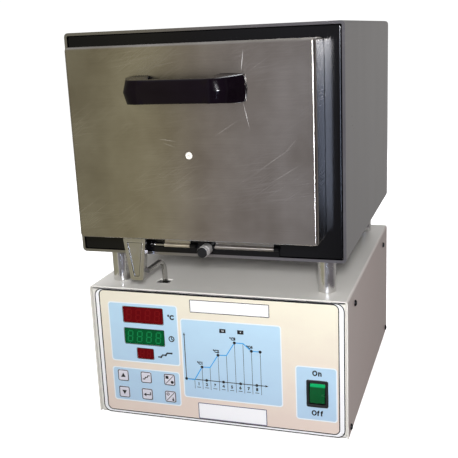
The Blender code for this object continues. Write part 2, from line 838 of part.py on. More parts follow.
def make_control_board():
    """Carries the digit modules, a contact behind each key, and the spacers to the front wall."""
    low = (BOARD_LEFT, BOARD_FRONT, BOX_BOTTOM + BOARD_FOOT)
    high = (BOARD_RIGHT, BOARD_FRONT + BOARD_THICKNESS, BOX_BOTTOM + BOARD_HEAD)
    board = block("control_board", low, high, circuit_board(), "Y", STANDOFF_RADIUS, 2)
    heart = BOARD_FRONT + BOARD_THICKNESS / 2
    modules = []
    for _, z, width, height in window_places():
        half = (width / 2 + MODULE_MARGIN, height / 2 + MODULE_MARGIN)
        low = (WINDOW_X - half[0], MODULE_FRONT, z - half[1])
        modules.append((low, (WINDOW_X + half[0], heart, z + half[1])))
    join(board, place_cutter("digit_modules", boxes_mesh("digit_modules", modules)))
    contact = BOX_FRONT + SHEET + KEY_TRAVEL + GAP
    spots = [((x, contact, z), (0, 1, 0)) for x, z in key_places()]
    mesh = rods_mesh("contacts", spots, CONTACT_RADIUS, heart - contact, 8)
    join(board, place_cutter("contacts", mesh))
    wall = BOX_FRONT + SHEET + GAP
    spots = [((x, wall, z), (0, 1, 0)) for x, z in board_corners()]
    mesh = rods_mesh("spacers", spots, STANDOFF_RADIUS, heart - wall, 8)
    join(board, place_cutter("spacers", mesh))
    return board


def make_rocker_bezel():
    front = OVERLAY_FRONT - GAP - BEZEL_PROUD
    back = OVERLAY_FRONT - GAP
    low, high = switch_span(front, back, BEZEL_WIDTH, BEZEL_HEIGHT)
    bezel = block("rocker_bezel", low, high, black_plastic(), "Y", BEZEL_CORNER, 2)
    section = (SWITCH_BODY_WIDTH, SWITCH_BODY_HEIGHT)
    body = switch_span(back - BEZEL_PROUD / 2, back + SWITCH_BODY_DEPTH, *section)
    join(bezel, box_cutter(*body))
    width = ROCKER_WIDTH + ROCKER_SIDE_CLEARANCE * 2
    height = ROCKER_HEIGHT + ROCKER_SIDE_CLEARANCE * 2
    cut(bezel, box_cutter(*switch_span(front - OVERRUN, front + ROCKER_POCKET_DEPTH, width, height)))
    return bezel


def make_power_rocker():
    """Two wings that meet at a crest in front of the pivot, at rest with the upper wing pressed."""
    wing = ROCKER_HEIGHT / 2
    root = wing * math.cos(ROCKER_TILT) - ROCKER_SIDE_CLEARANCE
    points = [(-ROCKER_CREST, 0), (-ROCKER_CREST + ROCKER_WING / 2, root), (ROCKER_WING, root / 2),
              (ROCKER_WING, -root / 2), (-ROCKER_CREST + ROCKER_WING / 2, -root)]
    mesh = outline_mesh("power_rocker", points, ROCKER_WIDTH, TO_SIDE)
    mesh.transform(Matrix.Rotation(-ROCKER_TILT, 4, "X"))
    pivot = (SWITCH_X, OVERLAY_FRONT - GAP - BEZEL_PROUD + ROCKER_PIVOT_DEPTH, BOX_BOTTOM + SWITCH_RISE)
    return place("power_rocker", mesh, material("green_lens", (0.02, 0.32, 0.07), 0.2), pivot)


def make_mains_inlet():
    z = BOX_BOTTOM + INLET_RISE
    low = (INLET_X - INLET_WIDTH / 2, BOX_REAR + GAP, z - INLET_HEIGHT / 2)
    high = (INLET_X + INLET_WIDTH / 2, BOX_REAR + GAP + INLET_FLANGE, z + INLET_HEIGHT / 2)
    inlet = block("mains_inlet", low, high, black_plastic(), "Y", INLET_FLANGE, 2)
    body = ((INLET_X - INLET_BODY_WIDTH / 2, BOX_REAR - INLET_BODY_DEPTH, z - INLET_BODY_HEIGHT / 2),
            (INLET_X + INLET_BODY_WIDTH / 2, BOX_REAR + INLET_FLANGE / 2, z + INLET_BODY_HEIGHT / 2))
    join(inlet, box_cutter(*body))
    mouth = high[1]
    pocket = ((INLET_X - SOCKET_WIDTH / 2, mouth - SOCKET_DEPTH, z - SOCKET_HEIGHT / 2),
              (INLET_X + SOCKET_WIDTH / 2, mouth + OVERRUN, z + SOCKET_HEIGHT / 2))
    cut(inlet, box_cutter(*pocket, round_axis="Y", radius=INLET_PIN_WIDTH, segments=1))
    pins = []
    for step in (-1, 0, 1):
        x = INLET_X + step * INLET_PIN_PITCH
        rise = z + (INLET_PIN_WIDTH if step == 0 else -INLET_PIN_WIDTH)
        pins.append(((x - INLET_PIN_WIDTH / 2, mouth - SOCKET_DEPTH - OVERRUN, rise - INLET_PIN_HEIGHT / 2),
                     (x + INLET_PIN_WIDTH / 2, mouth - INLET_FLANGE, rise + INLET_PIN_HEIGHT / 2)))
    join(inlet, place_cutter("inlet_pins", boxes_mesh("inlet_pins", pins)))
    return inlet


def make_fuse_holder():
    cap = FUSE_CAP_HEIGHT
    profile = [(0, cap), (FUSE_CAP_RADIUS - GAP, cap), (FUSE_CAP_RADIUS, cap - GAP), (FUSE_CAP_RADIUS, 0),
               (FUSE_BODY_RADIUS, 0), (FUSE_BODY_RADIUS, -FUSE_BODY_DEPTH), (0, -FUSE_BODY_DEPTH)]
    place_at = (FUSE_X, BOX_REAR + GAP, BOX_BOTTOM + INLET_RISE)
    holder = turned("fuse_holder", profile, black_plastic(), place_at, (0, 1, 0))
    smooth(holder)
    return holder


def make_transformer():
    """A laminated core with its winding, which stands proud of it front and back."""
    y = BOX_FRONT + TRANSFORMER_BACK
    floor = BOX_BOTTOM + SHEET + GAP
    low = (TRANSFORMER_X - TRANSFORMER_WIDTH / 2, y - TRANSFORMER_DEPTH / 2, floor)
    high = (TRANSFORMER_X + TRANSFORMER_WIDTH / 2, y + TRANSFORMER_DEPTH / 2, floor + TRANSFORMER_HEIGHT)
    core = block("transformer", low, high, zinc_steel(), "Y", SHEET, 1)
    z = floor + TRANSFORMER_HEIGHT / 2
    coil = ((TRANSFORMER_X - COIL_WIDTH / 2, y - COIL_DEPTH / 2, z - COIL_HEIGHT / 2),
            (TRANSFORMER_X + COIL_WIDTH / 2, y + COIL_DEPTH / 2, z + COIL_HEIGHT / 2))
    join(core, box_cutter(*coil, round_axis="Z", radius=FOLD, segments=2))
    return core


def comb(width, base, height, tooth, count):
    """Outline of a plate with upright teeth, from its lower left corner, about its middle in X."""
    step = (width - tooth) / (count - 1)
    points = [(-width / 2, 0), (width / 2, 0)]
    for i in reversed(range(count)):
        left = -width / 2 + i * step
        points += [(left + tooth, height), (left, height)]
        if i > 0:
            points += [(left, base), (left - step + tooth, base)]
    return points


def make_heat_sink():
    """Fins stand on the tray, and the relay sits on the flat back."""
    outline = comb(SINK_WIDTH, SINK_BASE, SINK_HEIGHT, SINK_FIN, SINK_FIN_COUNT)
    mesh = outline_mesh("heat_sink", outline, SINK_DEPTH, TO_FRONT)
    mesh.transform(Matrix.Rotation(math.pi, 4, "Y"))
    seat = (SINK_X, BOX_FRONT + SINK_BACK, BOX_BOTTOM + SHEET + GAP + SINK_HEIGHT)
    return place("heat_sink", mesh, material("extruded_aluminium", (0.6, 0.6, 0.6), 0.4, 1.0), seat)


def make_solid_state_relay():
    y = BOX_FRONT + SINK_BACK
    seat = BOX_BOTTOM + SHEET + GAP + SINK_HEIGHT + GAP
    low = (SINK_X - RELAY_WIDTH / 2, y - RELAY_DEPTH / 2, seat)
    high = (SINK_X + RELAY_WIDTH / 2, y + RELAY_DEPTH / 2, seat + RELAY_HEIGHT)
    return block("solid_state_relay", low, high, black_plastic(), "Z", FOLD, 2)


def make_terminal_block():
    y = BOX_FRONT + TERMINAL_BACK
    floor = BOX_BOTTOM + SHEET + GAP
    low = (TERMINAL_X - TERMINAL_WIDTH / 2, y - TERMINAL_DEPTH / 2, floor)
    high = (TERMINAL_X + TERMINAL_WIDTH / 2, y + TERMINAL_DEPTH / 2, floor + TERMINAL_HEIGHT)
    strip = block("terminal_block", low, high, white_paint())
    pitch = TERMINAL_WIDTH / TERMINAL_COUNT
    columns = [low[0] + pitch * (i + 1) - pitch / 2 for i in range(TERMINAL_COUNT)]
    spots = [((x, y, high[2]), (0, 0, -1)) for x in columns]
    drill(strip, spots, TERMINAL_BORE, TERMINAL_HEIGHT / 2, 8)
    return strip


def make_posts():
    length = POST_HEIGHT - GAP * 2
    inner = POST_RADIUS - POST_WALL
    profile = [(inner, length), (POST_RADIUS, length), (POST_RADIUS, 0), (inner, 0)]
    posts = []
    for end, y in (("front", BOX_FRONT + POST_FRONT_INSET), ("rear", BOX_REAR - POST_REAR_INSET)):
        for side, x in (("left", BOX_LEFT + POST_SIDE_INSET), ("right", BOX_RIGHT - POST_SIDE_INSET)):
            foot = (x, y, BOX_TOP + GAP)
            post = turned(f"post_{end}_{side}", profile, steel(), foot, closed=True, segments=24)
            smooth(post)
            posts.append(post)
    return posts


def make_outer_shell():
    low = (-BODY_WIDTH / 2, BODY_FRONT, BODY_BOTTOM)
    high = (BODY_WIDTH / 2, BODY_REAR, BODY_TOP)
    shell = sheet_box("outer_shell", low, high, ("-Y",), steel(), wall=HEM_WIDTH, radius=SHELL_FOLD)
    inside = Vector((SHEET, 0, SHEET))
    back = Vector((0, SHEET, 0))
    hem = Vector((0, HEM_DEPTH, 0))
    cut(shell, box_cutter(Vector(low) + inside + hem, Vector(high) - inside - back))
    rim = Vector((REAR_FLANGE, 0, REAR_FLANGE))
    window_low = Vector((low[0], BODY_REAR - HEM_WIDTH - OVERRUN, low[2])) + rim
    window_high = Vector((high[0], BODY_REAR + OVERRUN, high[2])) - rim
    cut(shell, box_cutter(window_low, window_high))
    drill(shell, rear_screw_spots(), SCREW_HOLE_RADIUS, REAR_FLANGE, 8)
    return shell


def rear_screw_spots():
    """Where screws enter the rear cover's edge, and the way they run."""
    x = BODY_WIDTH / 2 - REAR_FLANGE / 2
    z = BODY_HEIGHT / 2 - REAR_FLANGE / 2
    y = BODY_REAR + GAP + SHEET
    heart = BODY_BOTTOM + BODY_HEIGHT / 2
    return [((side * x, y, heart + level * z), (0, -1, 0)) for side in (-1, 1) for level in (-1, 0, 1)]


def make_rear_cover():
    half = BODY_WIDTH / 2 - REAR_COVER_MARGIN
    low = (-half, BODY_REAR + GAP, BODY_BOTTOM + REAR_COVER_MARGIN)
    high = (half, BODY_REAR + GAP + SHEET, BODY_TOP - REAR_COVER_MARGIN)
    cover = block("rear_cover", low, high, steel(), "Y", FOLD, 2)
    through = SHEET + OVERRUN * 2
    drill(cover, [((0, BODY_REAR, CHAMBER_Z + PORT_RISE), (0, 1, 0))], PORT_RADIUS + GAP, through, 16)
    drill(cover, [((0, BODY_REAR, CHAMBER_Z - PROBE_DROP), (0, 1, 0))], PROBE_RADIUS + GAP, through)
    drill(cover, rear_screw_spots(), SCREW_HOLE_RADIUS, REAR_FLANGE, 8)
    return cover


def make_front_frame():
    """Black enamelled front, folded back inside the shell's hem, with a mouth for the muffle."""
    edge = HEM_WIDTH + GAP
    low = (-BODY_WIDTH / 2 + edge, MOUTH_FRONT, BODY_BOTTOM + edge)
    high = (BODY_WIDTH / 2 - edge, BODY_FRONT + HEM_DEPTH, BODY_TOP - edge)
    frame = sheet_box("front_frame", low, high, ("+Y",), black_enamel(), FRAME_SHEET, FRAME_FOLD, 2)
    half = (CHAMBER_WIDTH / 2 + MUFFLE_WALL + GAP, CHAMBER_HEIGHT / 2 + MUFFLE_WALL + GAP)
    mouth = ((-half[0], BODY_FRONT - OVERRUN, CHAMBER_Z - half[1]),
             (half[0], BODY_FRONT + FRAME_SHEET + OVERRUN, CHAMBER_Z + half[1]))
    cut(frame, box_cutter(*mouth, round_axis="Y", radius=CHAMBER_CORNER))
    return frame


def make_insulation_block():
    side = SHEET + GAP
    low = (-BODY_WIDTH / 2 + side, BODY_FRONT + HEM_DEPTH + GAP, BODY_BOTTOM + side)
    high = (BODY_WIDTH / 2 - side, BODY_REAR - SHEET - GAP, BODY_TOP - side)
    wool = block("insulation_block", low, high, ceramic_fibre())
    reach = MUFFLE_WALL + MUFFLE_FLANGE + GAP
    half = (CHAMBER_WIDTH / 2 + reach, CHAMBER_HEIGHT / 2 + reach)
    hollow = ((-half[0], BODY_FRONT, CHAMBER_Z - half[1]), (half[0], MUFFLE_REAR + GAP, CHAMBER_Z + half[1]))
    cut(wool, box_cutter(*hollow, round_axis="Y", radius=CHAMBER_CORNER))
    rest = BODY_REAR - MUFFLE_REAR
    drill(wool, [((0, MUFFLE_REAR, CHAMBER_Z + PORT_RISE), (0, 1, 0))], PORT_RADIUS + GAP, rest, 16)
    drill(wool, [((0, MUFFLE_REAR, CHAMBER_Z - PROBE_DROP), (0, 1, 0))], PROBE_RADIUS + GAP, rest)
    return wool


def make_muffle():
    """A fireclay box open at the front. Two collars seat it in the insulation and hold the winding."""
    slim = (CHAMBER_WIDTH / 2 + MUFFLE_WALL, CHAMBER_HEIGHT / 2 + MUFFLE_WALL)
    wide = (slim[0] + MUFFLE_FLANGE, slim[1] + MUFFLE_FLANGE)
    collar = BODY_FRONT + HEM_DEPTH + GAP
    steps = [
        (MOUTH_FRONT, *slim),
        (collar, *slim),
        (collar, *wide),
        (collar + MUFFLE_FLANGE_LENGTH, *wide),
        (collar + MUFFLE_FLANGE_LENGTH, *slim),
        (MUFFLE_REAR - MUFFLE_FLANGE_LENGTH, *slim),
        (MUFFLE_REAR - MUFFLE_FLANGE_LENGTH, *wide),
        (MUFFLE_REAR, *wide),
    ]
    muffle = rectangle_loft("muffle", steps, CHAMBER_CORNER, fireclay(), (0, 0, CHAMBER_Z))
    half = (CHAMBER_WIDTH / 2, CHAMBER_HEIGHT / 2)
    room = ((-half[0], BODY_FRONT - OVERRUN, CHAMBER_Z - half[1]),
            (half[0], MUFFLE_REAR - MUFFLE_WALL, CHAMBER_Z + half[1]))
    cut(muffle, box_cutter(*room, round_axis="Y", radius=CHAMBER_CORNER / 2))
    inner = MUFFLE_REAR - MUFFLE_WALL
    reach = MUFFLE_WALL + OVERRUN
    drill(muffle, [((0, inner, CHAMBER_Z + PORT_RISE), (0, 1, 0))], PORT_RADIUS - PORT_WALL, reach)
    drill(muffle, [((0, inner, CHAMBER_Z - PROBE_DROP), (0, 1, 0))], PROBE_RADIUS + GAP, reach)
    return muffle


def winding_points():
    """Turns round the muffle between its collars, on a rounded rectangle, at a steady pitch."""
    lift = MUFFLE_WALL + GAP + WIRE_RADIUS
    half = (CHAMBER_WIDTH / 2 + lift, CHAMBER_HEIGHT / 2 + lift)
    corner = CHAMBER_CORNER + GAP + WIRE_RADIUS
    start = BODY_FRONT + HEM_DEPTH + GAP + MUFFLE_FLANGE_LENGTH + WIRE_RADIUS * 3
    end = MUFFLE_REAR - MUFFLE_FLANGE_LENGTH - WIRE_RADIUS * 3
    ring = rectangle_ring(*half, corner, WINDING_POINTS // 4 - 1)
    total = WINDING_TURNS * len(ring)
    points = []
    for i in range(total + 1):
        x, z = ring[i % len(ring)]
        points.append(Vector((x, start + (end - start) * i / total, CHAMBER_Z + z)))
    pitch = (end - start) / WINDING_TURNS
    print("heater winding: least gap between turns", round((pitch - WIRE_RADIUS * 2) * 1000, 2), "mm")
    return points


def make_heater_winding():
    look = material("resistance_wire", (0.25, 0.22, 0.20), 0.5, 1.0)
    return tube("heater_winding", winding_points(), WIRE_RADIUS, look, 1)


def make_hearth_plate():
    """Ribs run front to back, so that air passes under what stands on them."""
    width = CHAMBER_WIDTH - HEARTH_MARGIN * 2
    outline = comb(width, HEARTH_BASE, HEARTH_BASE + HEARTH_RIB, HEARTH_RIB, HEARTH_RIB_COUNT)
    mesh = outline_mesh("hearth_plate", outline, HEARTH_DEPTH, TO_FRONT)
    rear = MUFFLE_REAR - MUFFLE_WALL - HEARTH_MARGIN
    floor = CHAMBER_Z - CHAMBER_HEIGHT / 2 + GAP
    return place("hearth_plate", mesh, fireclay(), (0, rear - HEARTH_DEPTH / 2, floor))


def make_exhaust_port():
    reach = BODY_REAR + GAP + SHEET - MUFFLE_REAR - GAP
    inner = PORT_RADIUS - PORT_WALL
    out = PORT_PROJECTION
    profile = [
        (inner, out),
        (PORT_RADIUS, out),
        (PORT_RADIUS, PORT_FLANGE + GAP),
        (PORT_FLANGE_RADIUS, PORT_FLANGE + GAP),
        (PORT_FLANGE_RADIUS, GAP),
        (PORT_RADIUS, GAP),
        (PORT_RADIUS, -reach),
        (inner, -reach),
    ]
    seat = (0, BODY_REAR + GAP + SHEET, CHAMBER_Z + PORT_RISE)
    port = turned("exhaust_port", profile, steel(), seat, (0, 1, 0), closed=True)
    smooth(port)
    return port


def make_thermocouple():
    reach = BODY_REAR + GAP + SHEET - (MUFFLE_REAR - MUFFLE_WALL) + PROBE_REACH
    profile = [
        (0, PROBE_HEAD_LENGTH),
        (PROBE_HEAD_RADIUS - GAP, PROBE_HEAD_LENGTH),
        (PROBE_HEAD_RADIUS, PROBE_HEAD_LENGTH - GAP),
        (PROBE_HEAD_RADIUS, GAP),
        (PROBE_RADIUS, GAP),
        (PROBE_RADIUS, -reach + PROBE_RADIUS),
        (PROBE_RADIUS / 2, -reach),
        (0, -reach),
    ]
    seat = (0, BODY_REAR + GAP + SHEET, CHAMBER_Z - PROBE_DROP)
    probe = turned("thermocouple", profile, fireclay(), seat, (0, 1, 0), segments=12)
    smooth(probe)
    return probe


def bolt_spots():
    """Where the handle bolts pass the door pan, and the way they run."""
    return [((side * BOLT_X, DOOR_FRONT + DOOR_SHEET, HANDLE_Z), (0, -1, 0)) for side in (-1, 1)]


def make_door_pan():
    low = (-DOOR_WIDTH / 2, DOOR_FRONT, DOOR_BOTTOM)
    high = (DOOR_WIDTH / 2, DOOR_BACK, DOOR_TOP)
    pan = sheet_box("door_pan", low, high, ("+Y",), steel(), DOOR_SHEET, DOOR_FOLD, 3)
    drill(pan, [((0, DOOR_FRONT, CHAMBER_Z), (0, 1, 0))], PEEPHOLE_RADIUS + GAP, DOOR_SHEET + OVERRUN, 20)
    drill(pan, bolt_spots(), BOLT_RADIUS + GAP, DOOR_SHEET + OVERRUN)
    return pan


def plug_half():
    return CHAMBER_WIDTH / 2 - PLUG_CLEARANCE, CHAMBER_HEIGHT / 2 - PLUG_CLEARANCE


def make_door_insulation():
    """Fills the pan, and ends in a tapered plug that enters the muffle's mouth."""
    side = DOOR_SHEET + GAP
    half = (DOOR_WIDTH / 2 - side, DOOR_HEIGHT / 2 - side)
    heart = DOOR_BOTTOM + DOOR_HEIGHT / 2
    front = DOOR_FRONT + DOOR_SHEET + GAP
    back = DOOR_BACK - BACKPLATE - GAP
    steps = [(front, half[0] - DOOR_FOLD, half[1] - DOOR_FOLD), (front + DOOR_FOLD, *half), (back, *half)]
    wool = rectangle_loft("door_insulation", steps, DOOR_FOLD, ceramic_fibre(), (0, 0, heart))
    across, up = plug_half()
    root = back - BACKPLATE
    plug = [[(x, y, z) for x, z in rectangle_ring(w, h, CHAMBER_CORNER)] for y, w, h in (
        (root, across, up),
        (BODY_FRONT, across, up),
        (BODY_FRONT + PLUG_REACH, across - PLUG_TAPER, up - PLUG_TAPER),
    )]
    join(wool, place_cutter("plug", loft_mesh("plug", plug), (0, 0, CHAMBER_Z)))
    drill(wool, [((0, front, CHAMBER_Z), (0, 1, 0))], PEEPHOLE_RADIUS + GAP,
          BODY_FRONT + PLUG_REACH + OVERRUN - front)
    pockets = [((side * BOLT_X, front, HANDLE_Z), (0, 1, 0)) for side in (-1, 1)]
    drill(wool, pockets, BOLT_HEAD_RADIUS + GAP, BOLT_HEAD_HEIGHT + GAP * 2)
    return wool


def make_door_backplate():
    side = DOOR_SHEET + GAP
    low = (-DOOR_WIDTH / 2 + side, DOOR_BACK - BACKPLATE, DOOR_BOTTOM + side)
    high = (DOOR_WIDTH / 2 - side, DOOR_BACK, DOOR_TOP - side)
    plate = block("door_backplate", low, high, black_enamel(), "Y", DOOR_FOLD, 2)
    across, up = plug_half()
    hole = (
        (-across - GAP, low[1] - OVERRUN, CHAMBER_Z - up - GAP),
        (across + GAP, high[1] + OVERRUN, CHAMBER_Z + up + GAP),
    )
    cut(plate, box_cutter(*hole, round_axis="Y", radius=CHAMBER_CORNER))
    return plate


def make_peephole_tube():
    length = BODY_FRONT + PLUG_REACH - DOOR_FRONT - PEEPHOLE_RECESS
    profile = [(PEEPHOLE_BORE, 0), (PEEPHOLE_RADIUS, 0), (PEEPHOLE_RADIUS, -length), (PEEPHOLE_BORE, -length)]
    seat = (0, DOOR_FRONT + PEEPHOLE_RECESS, CHAMBER_Z)
    white = material("white_ceramic", (0.85, 0.84, 0.80), 0.5)
    sleeve = turned("peephole_tube", profile, white, seat, (0, -1, 0), closed=True, segments=12)
    smooth(sleeve)
    return sleeve


def handle_stations():
    """X, how far front and back stand off the door, and half height, from the middle to one end."""
    tip = HANDLE_LENGTH / 2
    bar = HANDLE_BAR_LENGTH / 2
    grip = HANDLE_GRIP_LENGTH / 2
    face = HANDLE_PROJECTION - HANDLE_RIDGE
    inner = HANDLE_PROJECTION - HANDLE_BAR_DEPTH
    slim = HANDLE_BAR_HEIGHT / 2
    wide = HANDLE_FOOT_HEIGHT / 2
    return [
        (0, face, inner - HANDLE_EDGE, slim, slim),
        (grip / 2, face, inner - HANDLE_EDGE, slim, slim),
        (grip - HANDLE_EDGE, face, inner - HANDLE_EDGE * 2, slim, slim),
        (grip, face, inner / 3, slim, (slim + wide) / 2),
        (grip + HANDLE_EDGE, face, 0, slim, wide),
        (bar - HANDLE_EDGE, face, 0, slim, wide),
        (bar, face - HANDLE_EDGE / 2, 0, slim, wide),
        ((bar * 2 + tip) / 3, face * NECK_SHARES[0], 0, (slim + wide) / 2, wide),
        ((bar + tip * 2) / 3, face * NECK_SHARES[1], 0, (slim + wide) / 2, wide - HANDLE_EDGE / 2),
        (tip - HANDLE_EDGE / 2, HANDLE_EDGE, 0, wide - HANDLE_EDGE, wide - HANDLE_EDGE),
        (tip, HANDLE_EDGE / 2, 0, wide - HANDLE_EDGE * 2, wide - HANDLE_EDGE * 2),
    ]


def handle_section(x, face, inner, front_half, back_half):
    """One slice of the handle: a roof-shaped front with a ridge, rounded at top and bottom."""
    ridge = min(HANDLE_RIDGE, face / 2)
    edge = min(HANDLE_EDGE, (face - inner) / 3)
    rows = [
        (inner, -back_half + edge),
        (inner + edge, -back_half),
        (face - edge, -front_half),
        (face, -front_half + edge),
        (face + ridge, -edge),
        (face + ridge, edge),
        (face, front_half - edge),
        (face - edge, front_half),
        (inner + edge, back_half),
        (inner, back_half - edge),
    ]
    return [(x, -off, z) for off, z in rows]


def make_door_handle():
    half = handle_stations()
    stations = [(-x, *rest) for x, *rest in reversed(half[1:])] + half
    mesh = loft_mesh("door_handle", [handle_section(*station) for station in stations])
    handle = place("door_handle", mesh, black_plastic(), (0, DOOR_FRONT - GAP, HANDLE_Z))
    smooth(handle)
    bores = [((side * BOLT_X, DOOR_FRONT, HANDLE_Z), (0, -1, 0)) for side in (-1, 1)]
    drill(handle, bores, BOLT_RADIUS + GAP, BOLT_REACH + GAP * 2)
    return handle


def make_handle_bolts():
    profile = bolt_profile(BOLT_HEAD_RADIUS, BOLT_HEAD_HEIGHT, BOLT_RADIUS, BOLT_REACH)
    bolts = []
    for side, x in (("left", -BOLT_X), ("right", BOLT_X)):
        seat = (x, DOOR_FRONT + DOOR_SHEET + GAP, HANDLE_Z)
        bolt = turned("handle_bolt_" + side, profile, zinc_steel(), seat, (0, 1, 0), segments=12)
        smooth(bolt)
        bolts.append(bolt)
    return bolts


def knuckle_outline(radius, reach):
    """A rolled knuckle with its plate rising on the frame's side, in Y and Z about the pin."""
    meet = math.degrees(math.acos((radius - HINGE_LEAF) / radius))
    points = arc((0, 0), radius, 0, meet - 360, 12)
    return points + [(radius - HINGE_LEAF, reach), (radius, reach)]


def bore_knuckle(piece, start, end):
    drill(piece, [((start, HINGE_Y, HINGE_Z), (1, 0, 0))], HINGE_PIN_RADIUS + HINGE_PIN_CLEARANCE,
          end - start + OVERRUN)


def make_hinge_leaf(name, start, end):
    """The door's half: it rises behind the door's back plate."""
    radius = HINGE_RADIUS - DOOR_GAP + GAP + HINGE_LEAF
    reach = DOOR_BOTTOM + HINGE_LEAF_UP - HINGE_Z
    mesh = outline_mesh(name, knuckle_outline(radius, reach), end - start, TO_SIDE)
    leaf = place(name, mesh, steel(), ((start + end) / 2, HINGE_Y, HINGE_Z))
    bore_knuckle(leaf, start, end)
    return leaf


def make_hinge_base(name, start, end, gap_start, gap_end):
    """The frame's half: a strip below the pin, with a knuckle at each end of the gap."""
    radius = HINGE_RADIUS + FRAME_RECESS - GAP
    outline = [(y, -z) for y, z in reversed(knuckle_outline(radius, HINGE_RISE - HEM_WIDTH - GAP))]
    mesh = outline_mesh(name, outline, end - start, TO_SIDE)
    base = place(name, mesh, black_enamel(), ((start + end) / 2, HINGE_Y, HINGE_Z))
    clear = HINGE_RADIUS + HINGE_SIDE_CLEARANCE
    low = (gap_start, HINGE_Y - clear, HINGE_Z - clear)
    cut(base, box_cutter(low, (gap_end, BODY_FRONT + OVERRUN, HINGE_Z + clear)))
    bore_knuckle(base, start, end)
    return base


def make_hinge_pin(name, start, end):
    length = end - start
    profile = [(0, length), (HINGE_PIN_RADIUS, length), (HINGE_PIN_RADIUS, 0), (0, 0)]
    pin = turned(name, profile, zinc_steel(), (start, HINGE_Y, HINGE_Z), (1, 0, 0), segments=10)
    smooth(pin)
    return pin


def make_hinges():
    """The left leaf is shorter than its gap, so that the pin shows and the safety lever has room."""
    side = HINGE_SIDE_CLEARANCE
    leaves = [
        make_hinge_leaf("hinge_leaf_left", LEFT_LEAF_START, LEFT_LEAF_END),
        make_hinge_leaf("hinge_leaf_right", RIGHT_LEAF_START, RIGHT_LEAF_END),
    ]
    make_hinge_base("hinge_base_left", LEFT_BASE_START, LEFT_BASE_END, LEFT_BASE_START + HINGE_END,
                    LEFT_LEAF_END + side)
    make_hinge_base("hinge_base_right", RIGHT_BASE_START, RIGHT_BASE_END, RIGHT_LEAF_START - side,
                    RIGHT_LEAF_END + side)
    make_hinge_pin("hinge_pin_left", LEFT_BASE_START, LEFT_BASE_END)
    make_hinge_pin("hinge_pin_right", RIGHT_BASE_START, RIGHT_BASE_END)
    return leaves


def stop_length():
    """The stop ends just short of the open door's lower edge."""
    return HINGE_RADIUS + DOOR_RISE - HINGE_RISE - STOP_CLEARANCE


def make_door_stop():
    length = stop_length() - BUMPER_LENGTH - GAP
    radius = STOP_RADIUS
    profile = [
        (0, length),
        (radius - BUMPER_CHAMFER, length),
        (radius, length - BUMPER_CHAMFER),
        (radius, GAP),
        (0, GAP),
    ]
    stop = turned("door_stop", profile, zinc_steel(), (0, MOUTH_FRONT, BODY_BOTTOM + STOP_RISE), (0, -1, 0))
    smooth(stop)
    return stop


def make_stop_bumper():
    start = stop_length() - BUMPER_LENGTH
    end = stop_length()
    profile = [(0, end), (BUMPER_RADIUS - BUMPER_CHAMFER, end), (BUMPER_RADIUS, end - BUMPER_CHAMFER),
               (BUMPER_RADIUS, start), (0, start)]
    bumper = turned("stop_bumper", profile, rubber(), (0, BODY_FRONT, BODY_BOTTOM + STOP_RISE), (0, -1, 0))
    smooth(bumper)
    return bumper


def paddle_corners(inset):
    """The paddle's four corners in X and Z about its foot, drawn in by inset."""
    top = PADDLE_TOP_WIDTH / 2 - inset
    foot = PADDLE_FOOT_WIDTH / 2 - inset
    return [(-foot, inset), (foot, inset), (top, PADDLE_HEIGHT - inset), (-top, PADDLE_HEIGHT - inset)]


def make_lever_paddle():
    y = BOX_FRONT - PADDLE_FRONT
    foot = BODY_BOTTOM + PADDLE_TOP_RISE - PADDLE_HEIGHT
    radii = (PADDLE_FOOT_CORNER, PADDLE_FOOT_CORNER, PADDLE_TOP_CORNER, PADDLE_TOP_CORNER)
    mesh = outline_mesh("lever_paddle", rounded_outline(paddle_corners(0), radii), PADDLE_THICKNESS, TO_FRONT)
    paddle = place("lever_paddle", mesh, steel(), (PADDLE_CENTRE_X, y + PADDLE_THICKNESS / 2, foot))
    soften(paddle, PADDLE_EDGE)
    pocket_outline = rounded_outline(paddle_corners(PADDLE_POCKET_MARGIN), (PADDLE_TOP_CORNER,) * 4, 2)
    pocket = outline_mesh("pocket", pocket_outline, PADDLE_POCKET_DEPTH * 2, TO_FRONT)
    cut(paddle, place_cutter("pocket", pocket, (PADDLE_CENTRE_X, y, foot)))
    return paddle


def rod_points():
    """From the paddle's back, level, round the bend and down through the slot to the hub."""
    level = BOX_TOP + ROD_RISE
    start = BOX_FRONT - PADDLE_FRONT + PADDLE_THICKNESS + GAP
    bend = arc((PIVOT_Y - ROD_BEND, level - ROD_BEND), ROD_BEND, 90, 0, 8)
    route = [(start, level)] + bend + [(PIVOT_Y, PIVOT_Z)]
    return [(ROD_X, y, z) for y, z in route]


def make_lever_rod():
    """The bent rod is welded to its hub, which carries a tail for the microswitch."""
    bent = tube("lever_rod_bent", rod_points(), ROD_RADIUS, zinc_steel(), 3)
    rod = place("lever_rod", evaluated_mesh(bent), zinc_steel())
    hub_start = [((ROD_X - HUB_LENGTH / 2, PIVOT_Y, PIVOT_Z), (1, 0, 0))]
    hub = rods_mesh("hub", hub_start, HUB_RADIUS, HUB_LENGTH, 20)
    join(rod, place_cutter("hub", hub))
    tail = ((ROD_X - HUB_LENGTH / 2, PIVOT_Y + HUB_RADIUS / 2, PIVOT_Z - TAIL_THICKNESS / 2),
            (ROD_X + HUB_LENGTH / 2, PIVOT_Y + LEVER_TAIL, PIVOT_Z + TAIL_THICKNESS / 2))
    join(rod, box_cutter(*tail))
    drill(rod, hub_start, LEVER_PIN_RADIUS + GAP, HUB_LENGTH + OVERRUN)
    return rod


def bracket_half():
    return HUB_LENGTH / 2 + CHEEK_CLEARANCE + CHEEK


